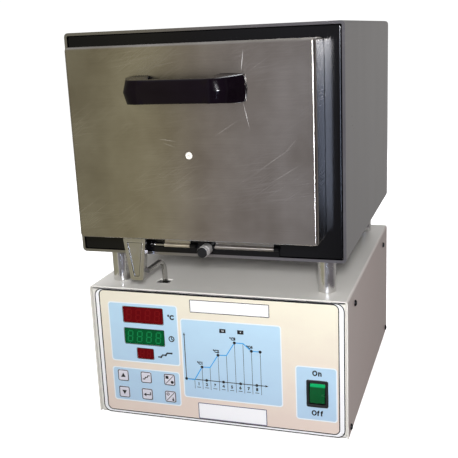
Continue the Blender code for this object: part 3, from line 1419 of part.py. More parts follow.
def make_lever_bracket():
    """A channel under the box's top. Its cheeks carry the lever's pin, and one cheek the switch."""
    half = bracket_half()
    top = BOX_TOP - SHEET - GAP
    low = (ROD_X - half, PIVOT_Y - SLOT_FORWARD * 2, top - BRACKET_HEIGHT)
    high = (ROD_X + half, PIVOT_Y - SLOT_FORWARD * 2 + BRACKET_DEPTH, top)
    bracket = sheet_box("lever_bracket", low, high, ("-Z", "-Y", "+Y"), zinc_steel(), CHEEK, CHEEK, 1)
    start = PIVOT_Y - SLOT_FORWARD - ROD_RADIUS
    slot = (
        (ROD_X - HUB_LENGTH / 2, start, top - CHEEK - OVERRUN),
        (ROD_X + HUB_LENGTH / 2, start + SLOT_LENGTH, top + OVERRUN),
    )
    cut(bracket, box_cutter(*slot))
    pivot = ((ROD_X - half, PIVOT_Y, PIVOT_Z), (1, 0, 0))
    drill(bracket, [pivot], LEVER_PIN_RADIUS + GAP, half * 2 + OVERRUN)
    return bracket


def spring_pitch():
    return SPRING_WIRE_RADIUS * 2 + GAP * 2


def make_lever_pin():
    """Runs through both cheeks, and on through the spring beside the left one."""
    half = bracket_half() + CHEEK
    length = half * 2 + SPRING_TURNS * spring_pitch()
    profile = [(0, length), (LEVER_PIN_RADIUS, length), (LEVER_PIN_RADIUS, 0), (0, 0)]
    start = (ROD_X + half - length, PIVOT_Y, PIVOT_Z)
    pin = turned("lever_pin", profile, zinc_steel(), start, (1, 0, 0), segments=12)
    smooth(pin)
    return pin


def make_lever_spring():
    """A torsion spring round the pin, outside the left cheek."""
    outside = ROD_X - bracket_half() - GAP - SPRING_WIRE_RADIUS
    points = []
    for i in range(SPRING_TURNS * SPRING_POINTS + 1):
        turn = i / SPRING_POINTS
        y = PIVOT_Y + SPRING_RADIUS * math.cos(turn * math.tau)
        z = PIVOT_Z + SPRING_RADIUS * math.sin(turn * math.tau)
        points.append((outside - turn * spring_pitch(), y, z))
    gap = spring_pitch() - SPRING_WIRE_RADIUS * 2
    print("lever spring: least gap between turns", round(gap * 1000, 2), "mm")
    return tube("lever_spring", points, SPRING_WIRE_RADIUS, zinc_steel(), 1)


def make_door_microswitch():
    """Fixed inside the right cheek, with its plunger on the lever's tail."""
    right = ROD_X + bracket_half() - CHEEK - GAP
    foot = PIVOT_Z + TAIL_THICKNESS / 2 + PLUNGER_REACH
    low = (right - MICROSWITCH_WIDTH, PIVOT_Y + MICROSWITCH_BACK, foot)
    high = (right, PIVOT_Y + MICROSWITCH_BACK + MICROSWITCH_DEPTH, foot + MICROSWITCH_HEIGHT)
    switch = block("door_microswitch", low, high, black_plastic(), "X", CHEEK / 2, 1)
    heart = middle(low, high)
    start = (heart.x, heart.y, foot - PLUNGER_REACH + GAP)
    mesh = rods_mesh("plunger", [(start, (0, 0, 1))], PLUNGER_RADIUS, PLUNGER_REACH + PLUNGER_RADIUS, 8)
    join(switch, place_cutter("plunger", mesh))
    return switch


def build():
    clear_scene()
    global PARTS, CUTTERS
    PARTS = make_collection("preheating_furnace")
    CUTTERS = make_collection("cutters")
    make_base_tray()
    make_cover()
    make_rubber_feet()
    make_front_overlay()
    make_windows()
    make_keys()
    make_control_board()
    make_rocker_bezel()
    make_power_rocker()
    make_mains_inlet()
    make_fuse_holder()
    make_transformer()
    make_heat_sink()
    make_solid_state_relay()
    make_terminal_block()
    make_posts()
    make_outer_shell()
    make_rear_cover()
    make_front_frame()
    make_insulation_block()
    make_muffle()
    make_heater_winding()
    make_hearth_plate()
    make_exhaust_port()
    make_thermocouple()
    door = [make_door_pan(), make_door_insulation(), make_door_backplate(), make_peephole_tube(),
            make_door_handle()]
    door += make_handle_bolts()
    door += make_hinges()
    hang(door, make_empty("door_axis", (0, HINGE_Y, HINGE_Z)))
    make_door_stop()
    make_stop_bumper()
    lever = [make_lever_paddle(), make_lever_rod()]
    hang(lever, make_empty("lever_axis", (ROD_X, PIVOT_Y, PIVOT_Z)))
    make_lever_bracket()
    make_lever_pin()
    make_lever_spring()
    make_door_microswitch()


build()
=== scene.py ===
import functools
import math

import bmesh
import bpy
from mathutils import Matrix, Vector


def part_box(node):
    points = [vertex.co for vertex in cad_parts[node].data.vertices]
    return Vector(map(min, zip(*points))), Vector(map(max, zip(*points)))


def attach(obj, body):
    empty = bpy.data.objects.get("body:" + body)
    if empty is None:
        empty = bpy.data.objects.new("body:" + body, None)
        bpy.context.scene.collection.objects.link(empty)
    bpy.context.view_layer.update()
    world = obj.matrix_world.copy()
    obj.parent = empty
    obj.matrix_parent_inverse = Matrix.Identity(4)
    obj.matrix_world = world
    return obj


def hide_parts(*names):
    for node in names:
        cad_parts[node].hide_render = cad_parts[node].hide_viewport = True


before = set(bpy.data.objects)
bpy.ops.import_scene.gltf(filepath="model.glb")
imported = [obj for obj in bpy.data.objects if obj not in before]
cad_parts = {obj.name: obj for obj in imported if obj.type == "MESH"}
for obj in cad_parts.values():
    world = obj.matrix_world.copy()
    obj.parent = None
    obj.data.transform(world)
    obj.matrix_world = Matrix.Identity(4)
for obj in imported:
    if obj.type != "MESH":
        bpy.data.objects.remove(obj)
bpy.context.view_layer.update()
print("frame loaded")

mm = 0.001
scene = bpy.context.scene
scene.view_settings.view_transform = "Standard"


def colourOf(code):
    parts = [int(code[i:i + 2], 16) / 255 for i in (1, 3, 5)]
    return [v / 12.92 if v <= 0.04045 else ((v + 0.055) / 1.055) ** 2.4 for v in parts] + [1.0]


def addNode(tree, kind, settings=None, out=0, **sockets):
    # settings and sockets hold the node's switches and inputs; a value that is a socket is linked; gives one output
    made = tree.nodes.new(kind)
    for name, value in list((settings or {}).items()) + list(sockets.items()):
        if isinstance(name, str) and hasattr(made, name):
            setattr(made, name, value)
        elif isinstance(value, bpy.types.NodeSocket):
            tree.links.new(value, made.inputs[name])
        else:
            made.inputs[name].default_value = value
    return made.outputs[out] if made.outputs else made


def mathOf(tree, operation, *values):
    return addNode(tree, "ShaderNodeMath", {"operation": operation, **dict(enumerate(values))})


def spanned(tree, value, fromLow, fromHigh, toLow=0.0, toHigh=1.0):
    return addNode(tree, "ShaderNodeMapRange", {
        "Value": value, "From Min": fromLow, "From Max": fromHigh, "To Min": toLow, "To Max": toHigh})


def blended(tree, share, *ends):
    # each end is an sRGB code or a socket
    low, high = (colourOf(end) if isinstance(end, str) else end for end in ends)
    return addNode(tree, "ShaderNodeMix", {"data_type": "RGBA", 0: share, 6: low, 7: high}, 2)


def startMaterial(name, settings):
    made = bpy.data.materials.new(name)
    made.use_nodes = True
    shader = made.node_tree.nodes["Principled BSDF"]
    for socket, value in settings.items():
        shader.inputs[socket].default_value = value
    coords = addNode(made.node_tree, "ShaderNodeTexCoord").node.outputs["Object"]
    return made, made.node_tree, shader, coords


def patternOf(tree, coords, sizes, detail=2.0, roughness=0.5, turn=(0, 0, 0)):
    # noise with blots as large as sizes, in millimetres, along each turned axis
    at = addNode(tree, "ShaderNodeMapping", {
        "vector_type": "TEXTURE", "Scale": [size * mm for size in sizes], "Rotation": turn}, Vector=coords)
    return addNode(tree, "ShaderNodeTexNoise", {"Scale": 1.0, "Detail": detail, "Roughness": roughness}, Vector=at)


def flecked(tree, colour, share, pattern, low, high="#ffffff"):
    # the colour multiplied by a pattern that runs between two tones
    tone = blended(tree, pattern, low, high)
    return addNode(tree, "ShaderNodeMix", {
        "data_type": "RGBA", "blend_type": "MULTIPLY", 0: share, 6: colour, 7: tone}, 2)


def streaksOf(tree, coords, scarsAndGlints):
    # hairline marks at x and z, each a long thin spot that fades towards its ends
    found = 0.0
    for x, z, length, degrees, strength in scarsAndGlints:
        at = addNode(tree, "ShaderNodeMapping", {
            "vector_type": "TEXTURE", "Location": (x * mm, 0, z * mm), "Rotation": (0, -math.radians(degrees), 0),
            "Scale": (length * mm, 400 * mm, 0.5 * mm)}, Vector=coords)
        far = addNode(tree, "ShaderNodeVectorMath", {"operation": "LENGTH", 0: at}, 1)
        mark = spanned(tree, far, 0.3, 1.0, strength, 0.0)
        found = mathOf(tree, "MAXIMUM", found, mark)
    return found


def finishOff(tree, shader, colour, rough=None, relief=None):
    # rough is a pattern and the two values it runs between; relief is a pattern, its depth in mm and its strength
    tree.links.new(colour, shader.inputs["Base Color"])
    if rough:
        pattern, low, high = rough
        gloss = spanned(tree, pattern, 0.3, 0.7, low, high)
        tree.links.new(gloss, shader.inputs["Roughness"])
    if relief:
        pattern, depth, strength = relief
        bump = addNode(tree, "ShaderNodeBump", {"Distance": depth * mm, "Strength": strength}, Height=pattern)
        tree.links.new(bump, shader.inputs["Normal"])


def plainFinish(name, settings, patterns, colour, rough=None, relief=None, marks=()):
    # patterns by name; colour, rough and relief each start with the name of the pattern that drives them
    made, tree, shader, coords = startMaterial(name, settings)
    found = {key: patternOf(tree, coords, *pattern) for key, pattern in patterns.items()}
    key, low, high, *limits = colour
    factor = found[key]
    if limits:
        factor = spanned(tree, factor, *limits)
    shade = blended(tree, factor, low, high)
    # marks, where given, are pale streaks blended into the colour; the handle's are painted highlights
    if marks:
        pale = streaksOf(tree, coords, marks)
        shade = blended(tree, pale, shade, "#e8ecf0")
    finishOff(tree, shader, shade, rough and (found[rough[0]], *rough[1:]), relief and (found[relief[0]], *relief[1:]))
    return made


steelLook = {
    "door": {"tint": "#cbc6bf", "dull": "#ada69d", "rough": (0.18, 0.22), "along": 0, "sweeps": 0.5,
             # the first two streaks, upright beside the handle's right foot, are painted highlights of light glancing
             # off the foot; the rest are scratches
             "scarsAndGlints": ((59.2, 416.4, 13, 82.8, 1.0), (61.6, 364.3, 16, 102.4, 0.8), (-22, 341, 12, -8, 0.35),
                       (-20, 336, 9, -20, 0.3), (88, 322, 28, 34, 0.25), (98, 308, 24, 31, 0.22),
                       (40, 352, 20, 32, 0.25), (104, 335, 14, 48, 0.2))},
    "shell": {"tint": "#b7b6ba", "dull": "#a9a8ac", "rough": (0.24, 0.30), "along": 1, "sweeps": 0.25, "scarsAndGlints": ()},
    "small": {"tint": "#cfccc4", "dull": "#aaa69c", "rough": (0.20, 0.32), "along": 0, "sweeps": 0.0, "scarsAndGlints": ()},
}


def brushedStainless(name, look):
    # AISI 304 sheet, belt-ground: fine parallel lines that stretch highlights across them, hand smears, stray scratches
    made, tree, shader, coords = startMaterial(name, {
        "Metallic": 1.0, "Anisotropic": 0.96, "Anisotropic Rotation": 0.25})
    lengthwise = look["along"] == 0
    lines = [0.5, 0.5, 0.5]  # real lines are about 0.05 mm apart, drawn coarser so that they show
    lines[look["along"]] = 60.0
    grain = patternOf(tree, coords, lines, 4.0, 0.7)
    smear = patternOf(tree, coords, (60, 60, 60), 3.0, 0.55)
    # soft bands of tone across the sheet: partly the grinding's own unevenness, partly painted reflection of the room's
    # upright bands
    toneAndReflectionBands = patternOf(tree, coords, (26, 26, 500) if lengthwise else (500, 40, 500), 1.0, 0.4)
    cloud = spanned(tree, smear, 0.3, 0.7)
    shaded = blended(tree, cloud, look["dull"], look["tint"])
    shaded = flecked(tree, shaded, 0.5, grain, "#a0a0a0")
    shaded = flecked(tree, shaded, 0.3, toneAndReflectionBands, "#b4afa4", "#fffdff")
    low, high = look["rough"]
    polish = spanned(tree, smear, 0.3, 0.7, low, high)
    rough = mathOf(tree, "MULTIPLY_ADD", grain, 0.08, polish)
    if look["sweeps"] > 0:  # wiping marks, curved across the grain in patches
        patch = spanned(tree, patternOf(tree, coords, (90, 90, 70)), 0.46, 0.66, 0.0, look["sweeps"])
        hairs = [patternOf(tree, coords, sizes, 3.0, 0.6, (0, math.radians(turn), 0))
                 for sizes, turn in (((70, 70, 0.9), -34), ((50, 50, 1.2), -9))]
        most = mathOf(tree, "MAXIMUM", *hairs)
        clear = spanned(tree, most, 0.52, 0.72)
        wipes = mathOf(tree, "MULTIPLY", patch, clear)
        share = mathOf(tree, "MULTIPLY", wipes, 0.8)
        shaded = blended(tree, share, shaded, "#d9d4d2")
        rough = mathOf(tree, "MULTIPLY_ADD", wipes, 0.1, rough)
    if look["scarsAndGlints"]:  # scratched steel scatters light, so it shows pale and dull; the two upright streaks beside the handle's right foot are painted highlights
        scarsAndGlintsShare = streaksOf(tree, coords, look["scarsAndGlints"])
        shaded = blended(tree, scarsAndGlintsShare, shaded, "#f4f2f0")
        metal = mathOf(tree, "MULTIPLY_ADD", scarsAndGlintsShare, -0.8, 1.0)
        tree.links.new(metal, shader.inputs["Metallic"])
    tree.links.new(rough, shader.inputs["Roughness"])
    # the sheet was ground along this way, turned a little so that it still counts on the folded ends
    way = addNode(tree, "ShaderNodeCombineXYZ", {"X": 1.0, "Y": 0.2} if lengthwise else {"X": 0.2, "Y": 1.0})
    tree.links.new(way, shader.inputs["Tangent"])
    finishOff(tree, shader, shaded, None, (grain, 0.012, 0.5))
    return made


def stoveEnamel():
    # black stove enamel on folded sheet: a glassy, slightly wavy skin that mirrors the door's edge, with light dust
    made, tree, shader, coords = startMaterial("stoveEnamel", {
        "IOR": 1.5, "Specular IOR Level": 0.2, "Coat Weight": 0.15, "Coat Roughness": 0.05})
    wave = patternOf(tree, coords, (30, 30, 30), 1.0, 0.4)
    peel = patternOf(tree, coords, (0.9, 0.9, 0.9))
    dust = patternOf(tree, coords, (1.2, 1.2, 1.2), 3.0, 0.6)
    speck = spanned(tree, dust, 0.66, 0.78)
    black = blended(tree, speck, "#060608", "#16161a")
    skin = mathOf(tree, "MULTIPLY_ADD", peel, 0.12, wave)
    finishOff(tree, shader, black, (dust, 0.14, 0.19), (skin, 0.03, 0.3))
    return made


def phenolic(name, code, light, rough, gloss, shine, marks=()):
    # moulded phenolic or nylon: hard gloss from a polished tool, faint flow marks and hairline rub marks; the pale
    # lines, where marks are given, are painted highlights along edges that catch the light
    return plainFinish(
        name, {"IOR": 1.55, "Coat Weight": gloss, "Coat Roughness": 0.05, "Specular IOR Level": shine},
        {"flow": ((22, 9, 9),), "rub": ((9, 0.5, 0.5), 2.0, 0.6)},
        ("flow", code, light), ("rub", rough, rough + 0.09), ("flow", 0.03, 0.3), marks)


def printedPolycarbonate(name, low, high, span, grain="#f2ede6"):
    # reverse-printed polycarbonate film under a fine satin texture; its colour runs from low to high up the panel,
    # painted shade that leaves it darker towards the bottom
    made, tree, shader, coords = startMaterial(name, {"IOR": 1.58})
    up = addNode(tree, "ShaderNodeSeparateXYZ", None, 2, Vector=coords)
    # painted shade: the colour is darker towards the bottom over this span of height
    rise = spanned(tree, up, *span)
    mottle = patternOf(tree, coords, (24, 24, 16), 3.0, 0.6)
    leaned = mathOf(tree, "MULTIPLY_ADD", mottle, 0.5, -0.25)
    mixed = addNode(tree, "ShaderNodeMath", {"operation": "ADD", "use_clamp": True, 0: rise, 1: leaned})
    tintedAndShaded = blended(tree, mixed, low, high)
    speck = patternOf(tree, coords, (0.5, 0.5, 0.5), 2.0, 0.6)
    finishOff(tree, shader, flecked(tree, tintedAndShaded, 0.25, speck, grain), (mottle, 0.36, 0.46), (speck, 0.01, 0.3))
    return made


def screenInk(name, code, pale):
    # screen-printing ink: a dense, slightly uneven layer with small pinholes of lighter tone
    return plainFinish(name, {"IOR": 1.5}, {"grain": ((0.35, 0.35, 0.35), 3.0, 0.6)},
                       ("grain", code, pale, 0.45, 0.8), ("grain", 0.42, 0.52))


def tintedAcrylic(name, deep, bright):
    # dyed acrylic over a dark display, non-glare face: deep colour with little gloss and fine wipe marks
    return plainFinish(name, {"IOR": 1.49, "Specular IOR Level": 0.08},
                       {"cell": ((7, 7, 9),), "wipe": ((8, 1, 0.8), 2.0, 0.6)},
                       ("cell", deep, bright), ("wipe", 0.3, 0.4), ("wipe", 0.01, 0.3))


def lampLens():
    # translucent green polycarbonate rocker: light sinks in, a ribless polished face with thumb marks, and a painted
    # highlight: a light green band along its top
    made, tree, shader, coords = startMaterial("greenPolycarbonate", {
        "IOR": 1.58, "Specular IOR Level": 0.25, "Subsurface Weight": 0.1, "Subsurface Scale": 0.003})
    thumb = patternOf(tree, coords, (9, 9, 6), 2.0, 0.55)
    up = addNode(tree, "ShaderNodeSeparateXYZ", None, 2, Vector=coords)
    # painted highlight: the band along the top, above 66.5 to 68 mm, is painted light green as if lit from above
    rim = spanned(tree, up, 66.5 * mm, 68.0 * mm)
    body = blended(tree, thumb, "#004a22", "#005628")
    greenWithTopHighlight = blended(tree, rim, body, "#00a860")
    finishOff(tree, shader, greenWithTopHighlight, (thumb, 0.18, 0.3), (thumb, 0.02, 0.3))
    return made


def platedSteel(name, code, dull, rough):
    # bright zinc or nickel plate on turned and bent rod: faint turning lines and cloudy handling patches
    return plainFinish(name, {"Metallic": 1.0},
                       {"cloud": ((9, 9, 14), 3.0, 0.6), "turning": ((6, 6, 0.35),)},
                       ("cloud", dull, code), ("cloud", rough, rough + 0.12), ("turning", 0.012, 0.4))


def strawTinted():
    # stainless sheet that has run warm beside the chamber: straw heat tint on the left, grey where it stays cool
    made, tree, shader, coords = startMaterial("heatTintedStainless", {"Metallic": 0.85, "Anisotropic": 0.6})
    cloud = patternOf(tree, coords, (14, 14, 8), 3.0, 0.6)
    grain = patternOf(tree, coords, (30, 0.5, 0.5), 3.0, 0.6)
    across = addNode(tree, "ShaderNodeSeparateXYZ", None, 0, Vector=coords)
    side = spanned(tree, across, -25 * mm, 15 * mm)
    drift = spanned(tree, cloud, 0.3, 0.7, -0.25, 0.25)
    cool = mathOf(tree, "ADD", side, drift)
    tint = blended(tree, cool, "#d6ccb6", "#a8a29c")
    finishOff(tree, shader, flecked(tree, tint, 0.35, grain, "#a0a0a0"), (cloud, 0.3, 0.42), (grain, 0.012, 0.4))
    return made


def firedCeramic(name, low, high, grainSize, depth, rough=0.8):
    # pressed and fired refractory, or fibre board: dry, open, speckled with darker grains and small pits
    made, tree, shader, coords = startMaterial(name, {"IOR": 1.5})
    grain = patternOf(tree, coords, (grainSize,) * 3, 4.0, 0.65)
    patch = patternOf(tree, coords, (26, 26, 26), 3.0, 0.6)
    base = blended(tree, patch, low, high)
    dark = spanned(tree, grain, 0.38, 0.5)
    speckled = flecked(tree, base, 0.45, dark, "#8f8678")
    finishOff(tree, shader, speckled, (patch, rough, rough + 0.12), (grain, depth, 0.8))
    return made


doorSteel = brushedStainless("brushedDoorStainless", steelLook["door"])
shellSteel = brushedStainless("brushedShellStainless", steelLook["shell"])
smallSteel = brushedStainless("brushedFittingStainless", steelLook["small"])
leafSteel = strawTinted()
# off-white polyester powder coat, baked: satin gloss with a fine orange-peel skin and faint handling marks
paint = plainFinish("polyesterPowderCoat", {"IOR": 1.5, "Coat Weight": 0.15, "Coat Roughness": 0.1},
                    {"peel": ((1.1, 1.1, 1.1),), "cloud": ((90, 90, 60), 3.0, 0.6)},
                    ("cloud", "#e2dfd6", "#eeece6"), ("cloud", 0.30, 0.40), ("peel", 0.03, 0.35))
enamel = stoveEnamel()
# the two pale lines are painted highlights along the top and bottom edges of the handle's right foot
handlePlastic = phenolic("blackPhenolic", "#050106", "#0d070e", 0.08, 0.04, 0.13,
                         ((54.5, 403.4, 15, 5, 1.0), (54.5, 378.1, 16, -4, 1.0)))
bezelPlastic = phenolic("blackNylon", "#101112", "#191a1b", 0.28, 0.1, 0.5)
boltBlack = platedSteel("blackOxideSteel", "#2a2a2c", "#151516", 0.35)
# the height over which the films are painted darker towards the bottom, painted shade; the key film has its own span
filmShadeSpan = (0.02, 0.15)
panelPrint = printedPolycarbonate("printedCreamFilm", "#e6d5ca", "#f0ead6", filmShadeSpan)
bluePrint = printedPolycarbonate("printedBlueFilm", "#b4cfe6", "#bfdff2", filmShadeSpan, "#eef4fa")
rimPrint = printedPolycarbonate("printedPaleRim", "#e8eff5", "#f2f8fb", filmShadeSpan, "#f8fbfd")
whitePrint = printedPolycarbonate("printedWhiteFilm", "#fafafc", "#ffffff", filmShadeSpan, "#fbfbfd")
keyFilm = printedPolycarbonate("embossedKeyFilm", "#d6d4de", "#e4e2ea", (0.02, 0.08), "#f0eff4")
blackInk = screenInk("blackInk", "#06060c", "#12111a")
greyInk = screenInk("greyInk", "#272a32", "#3a3e46")
blueInk = screenInk("blueInk", "#1c9ce0", "#48b0ec")
navyInk = screenInk("navyInk", "#24245c", "#38386e")
redAcrylic = tintedAcrylic("redAcrylic", "#5a060c", "#6c080e")
greenAcrylic = tintedAcrylic("greenAcrylic", "#064a26", "#085c30")
redSegment = tintedAcrylic("unlitRedSegment", "#6e1012", "#781416")
greenSegment = tintedAcrylic("unlitGreenSegment", "#157c44", "#1b8850")
lens = lampLens()
plated = platedSteel("brightPlatedSteel", "#cfcdca", "#aaa8a4", 0.16)
polished = platedSteel("polishedStainlessTube", "#eae9e8", "#cfcecc", 0.16)
aluminium = platedSteel("extrudedAluminium", "#c8cacc", "#a6a8aa", 0.35)
oxidised = platedSteel("oxidisedHeatingWire", "#6a5d52", "#3f3630", 0.5)
coreSteel = platedSteel("laminatedCore", "#7b7f86", "#4e5157", 0.5)
# pressure die-cast zinc left bare: a chalky pale oxide over dull metal, with a sandy skin
zincCasting = plainFinish("dullZincCasting", {"Metallic": 0.2, "IOR": 1.5},
                          {"bloom": ((5, 5, 5), 3.0, 0.6), "sand": ((0.5, 0.5, 0.5), 2.0, 0.6)},
                          ("bloom", "#94928f", "#c4c2bf"), ("bloom", 0.4, 0.55), ("sand", 0.03, 0.4))
fibre = firedCeramic("ceramicFibreBoard", "#ddd6c6", "#ece6d8", 1.8, 0.25, 0.85)
clay = firedCeramic("firedClay", "#b79a78", "#cdb28f", 1.1, 0.2)
whiteCeramic = firedCeramic("steatiteCeramic", "#eeebe2", "#fbf9f3", 0.5, 0.02, 0.35)
# moulded nitrile rubber: matt black with a grey bloom and a fine pebbled skin
rubber = plainFinish("nitrileRubber", {"IOR": 1.52, "Specular IOR Level": 0.25},
                     {"bloom": ((6, 6, 6), 3.0, 0.6), "pebble": ((0.6, 0.6, 0.6),)},
                     ("bloom", "#070708", "#141313"), ("bloom", 0.6, 0.8), ("pebble", 0.05, 0.5))
# glass-epoxy board under green solder resist: glossy, with the tracks and the woven glass faintly showing
board = plainFinish("solderResist", {"IOR": 1.52, "Coat Weight": 0.3, "Coat Roughness": 0.15},
                    {"weave": ((0.8, 0.8, 0.8),), "tracks": ((3.5, 3.5, 1.4), 1.0, 0.5)},
                    ("tracks", "#0f4a26", "#1d6a38", 0.48, 0.52), ("weave", 0.25, 0.4), ("weave", 0.02, 0.4))
print("materials made")

nodeFinish = {
    "cover": paint, "base_tray": paint, "front_overlay": whitePrint, "control_board": board,
    "display_window_upper": redAcrylic, "display_window_lower": greenAcrylic, "display_window_program": redAcrylic,
    "rocker_bezel": bezelPlastic, "power_rocker": lens, "mains_inlet": bezelPlastic, "fuse_holder": bezelPlastic,
    "transformer": coreSteel, "heat_sink": aluminium,
    "solid_state_relay": bezelPlastic, "terminal_block": bezelPlastic, "outer_shell": shellSteel,
    "rear_cover": shellSteel, "front_frame": enamel, "insulation_block": fibre, "muffle": clay,
    "heater_winding": oxidised, "hearth_plate": clay, "exhaust_port": smallSteel, "thermocouple": clay,
    "door_pan": doorSteel, "door_insulation": fibre, "door_backplate": smallSteel, "peephole_tube": whiteCeramic,
    "handle_bolt_left": boltBlack, "handle_bolt_right": boltBlack, "hinge_leaf_left": leafSteel,
    "hinge_leaf_right": leafSteel, "hinge_base_left": enamel, "hinge_base_right": enamel,
    "hinge_pin_left": plated, "hinge_pin_right": plated, "door_stop": zincCasting, "stop_bumper": rubber,
    "lever_paddle": plated, "lever_rod": plated, "lever_bracket": plated, "lever_pin": plated,
    "lever_spring": plated, "door_microswitch": bezelPlastic, "door_handle": handlePlastic,
}
for keyName in ("raise", "program", "mode", "lower", "enter", "time"):
    nodeFinish["key_" + keyName] = keyFilm
for corner in ("front_left", "front_right", "rear_left", "rear_right"):
    nodeFinish["post_" + corner] = polished
    nodeFinish["foot_" + corner] = rubber
for nodeName, finish in nodeFinish.items():
    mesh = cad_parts[nodeName].data
    mesh.materials.clear()
    mesh.materials.append(finish)


def addPiece(name, mesh, body, finish=None):
    if finish is not None:
        mesh.materials.clear()
        mesh.materials.append(finish)
    piece = bpy.data.objects.new(name, mesh)
    scene.collection.objects.link(piece)
    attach(piece, body)
    return piece


def smoothBy(mesh, degrees=35):
    bm = bmesh.new()
    bm.from_mesh(mesh)
    limit = math.radians(degrees)
    for face in bm.faces:
        face.smooth = True
    for edge in bm.edges:
        edge.smooth = edge.is_manifold and edge.calc_face_angle(0.0) < limit
    bm.to_mesh(mesh)
    bm.free()


def bakeModifiers(piece):
    bpy.context.view_layer.update()
    mesh = bpy.data.meshes.new_from_object(piece.evaluated_get(bpy.context.evaluated_depsgraph_get()))
    piece.modifiers.clear()
    piece.data = mesh
    return mesh


def refine(node, body, finish, edge):
    # a merged copy of the solid, with its sharp edges eased
    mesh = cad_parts[node].data.copy()
    bm = bmesh.new()
    bm.from_mesh(mesh)
    bmesh.ops.remove_doubles(bm, verts=bm.verts, dist=0.00001)
    bmesh.ops.dissolve_limit(bm, angle_limit=math.radians(0.5), verts=bm.verts, edges=bm.edges)
    bm.to_mesh(mesh)
    bm.free()
    piece = bpy.data.objects.new(node + "_fine", mesh)
    scene.collection.objects.link(piece)
    if edge > 0:
        bevel = piece.modifiers.new("edge", "BEVEL")
        bevel.width, bevel.segments = edge, 2
        bevel.limit_method, bevel.angle_limit = "ANGLE", math.radians(35)
        bevel.use_clamp_overlap = True
        mesh = bakeModifiers(piece)
    smoothBy(mesh, 60 if edge > 0 else 35)
    flat = piece.modifiers.new("flat", "WEIGHTED_NORMAL")  # large faces keep their own direction beside a fold
    flat.keep_sharp, flat.weight = True, 100
    mesh = bakeModifiers(piece)
    mesh.materials.clear()
    mesh.materials.append(finish)
    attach(piece, body)
    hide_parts(node)
    return piece


refined = {  # body, slot, finish and how far the edges are eased
    "door_pan": ("door", "brushed_stainless", doorSteel, 0.0),
    "outer_shell": ("furnace", "brushed_stainless", shellSteel, 0.0),
    "front_frame": ("furnace", "black_enamel", enamel, 0.0),
    "cover": ("furnace", "off_white_paint", paint, 0.0),
    "base_tray": ("furnace", "off_white_paint", paint, 0.0),
    "hinge_leaf_left": ("door", "brushed_stainless", leafSteel, 0.00025),
    "hinge_leaf_right": ("door", "brushed_stainless", leafSteel, 0.00025),
    "hinge_base_left": ("furnace", "black_enamel", enamel, 0.0003),
    "hinge_base_right": ("furnace", "black_enamel", enamel, 0.0003),
    "lever_paddle": ("safety_lever", "zinc_plated_steel", plated, 0.0006),
    "lever_rod": ("safety_lever", "zinc_plated_steel", plated, 0.0),
    "rocker_bezel": ("furnace", "black_plastic", bezelPlastic, 0.0005),
    "power_rocker": ("switch_rocker", "green_lens", lens, 0.0006),
    "mains_inlet": ("furnace", "black_plastic", bezelPlastic, 0.0006),
    "fuse_holder": ("furnace", "black_plastic", bezelPlastic, 0.0005),
    "door_stop": ("furnace", "brushed_stainless", zincCasting, 0.0),
}
for nodeName, (body, slot, finish, edge) in refined.items():
    refine(nodeName, body, finish, edge)
print("solids refined")

handleLook = {
    "bar": 49 * mm, "grip": 34 * mm, "face": 33.8 * mm, "ridge": 1.5 * mm, "depth": 13 * mm,
    "slim": 11.6 * mm, "wide": 14.5 * mm, "edge": 3 * mm, "front": -182.3 * mm, "rise": 390.9 * mm, "prow": 3.4 * mm,
    # how far past the bar's end, what share of the reach, and how much taller the face and the foot are
    "bend": ((-9.0, 0.988, 0, 0), (-5.0, 0.951, 0, 0), (-1.8, 0.895, 0, 0), (0.6, 0.825, 0.2, 0),
             (3.6, 0.64, 0.8, -0.2), (7.4, 0.39, 1.5, -0.5), (10.6, 0.17, 1.6, -1.2), (12.3, 0.07, 0.4, -2.6),
             (13.0, 0.045, -1.0, -4.2)),
}


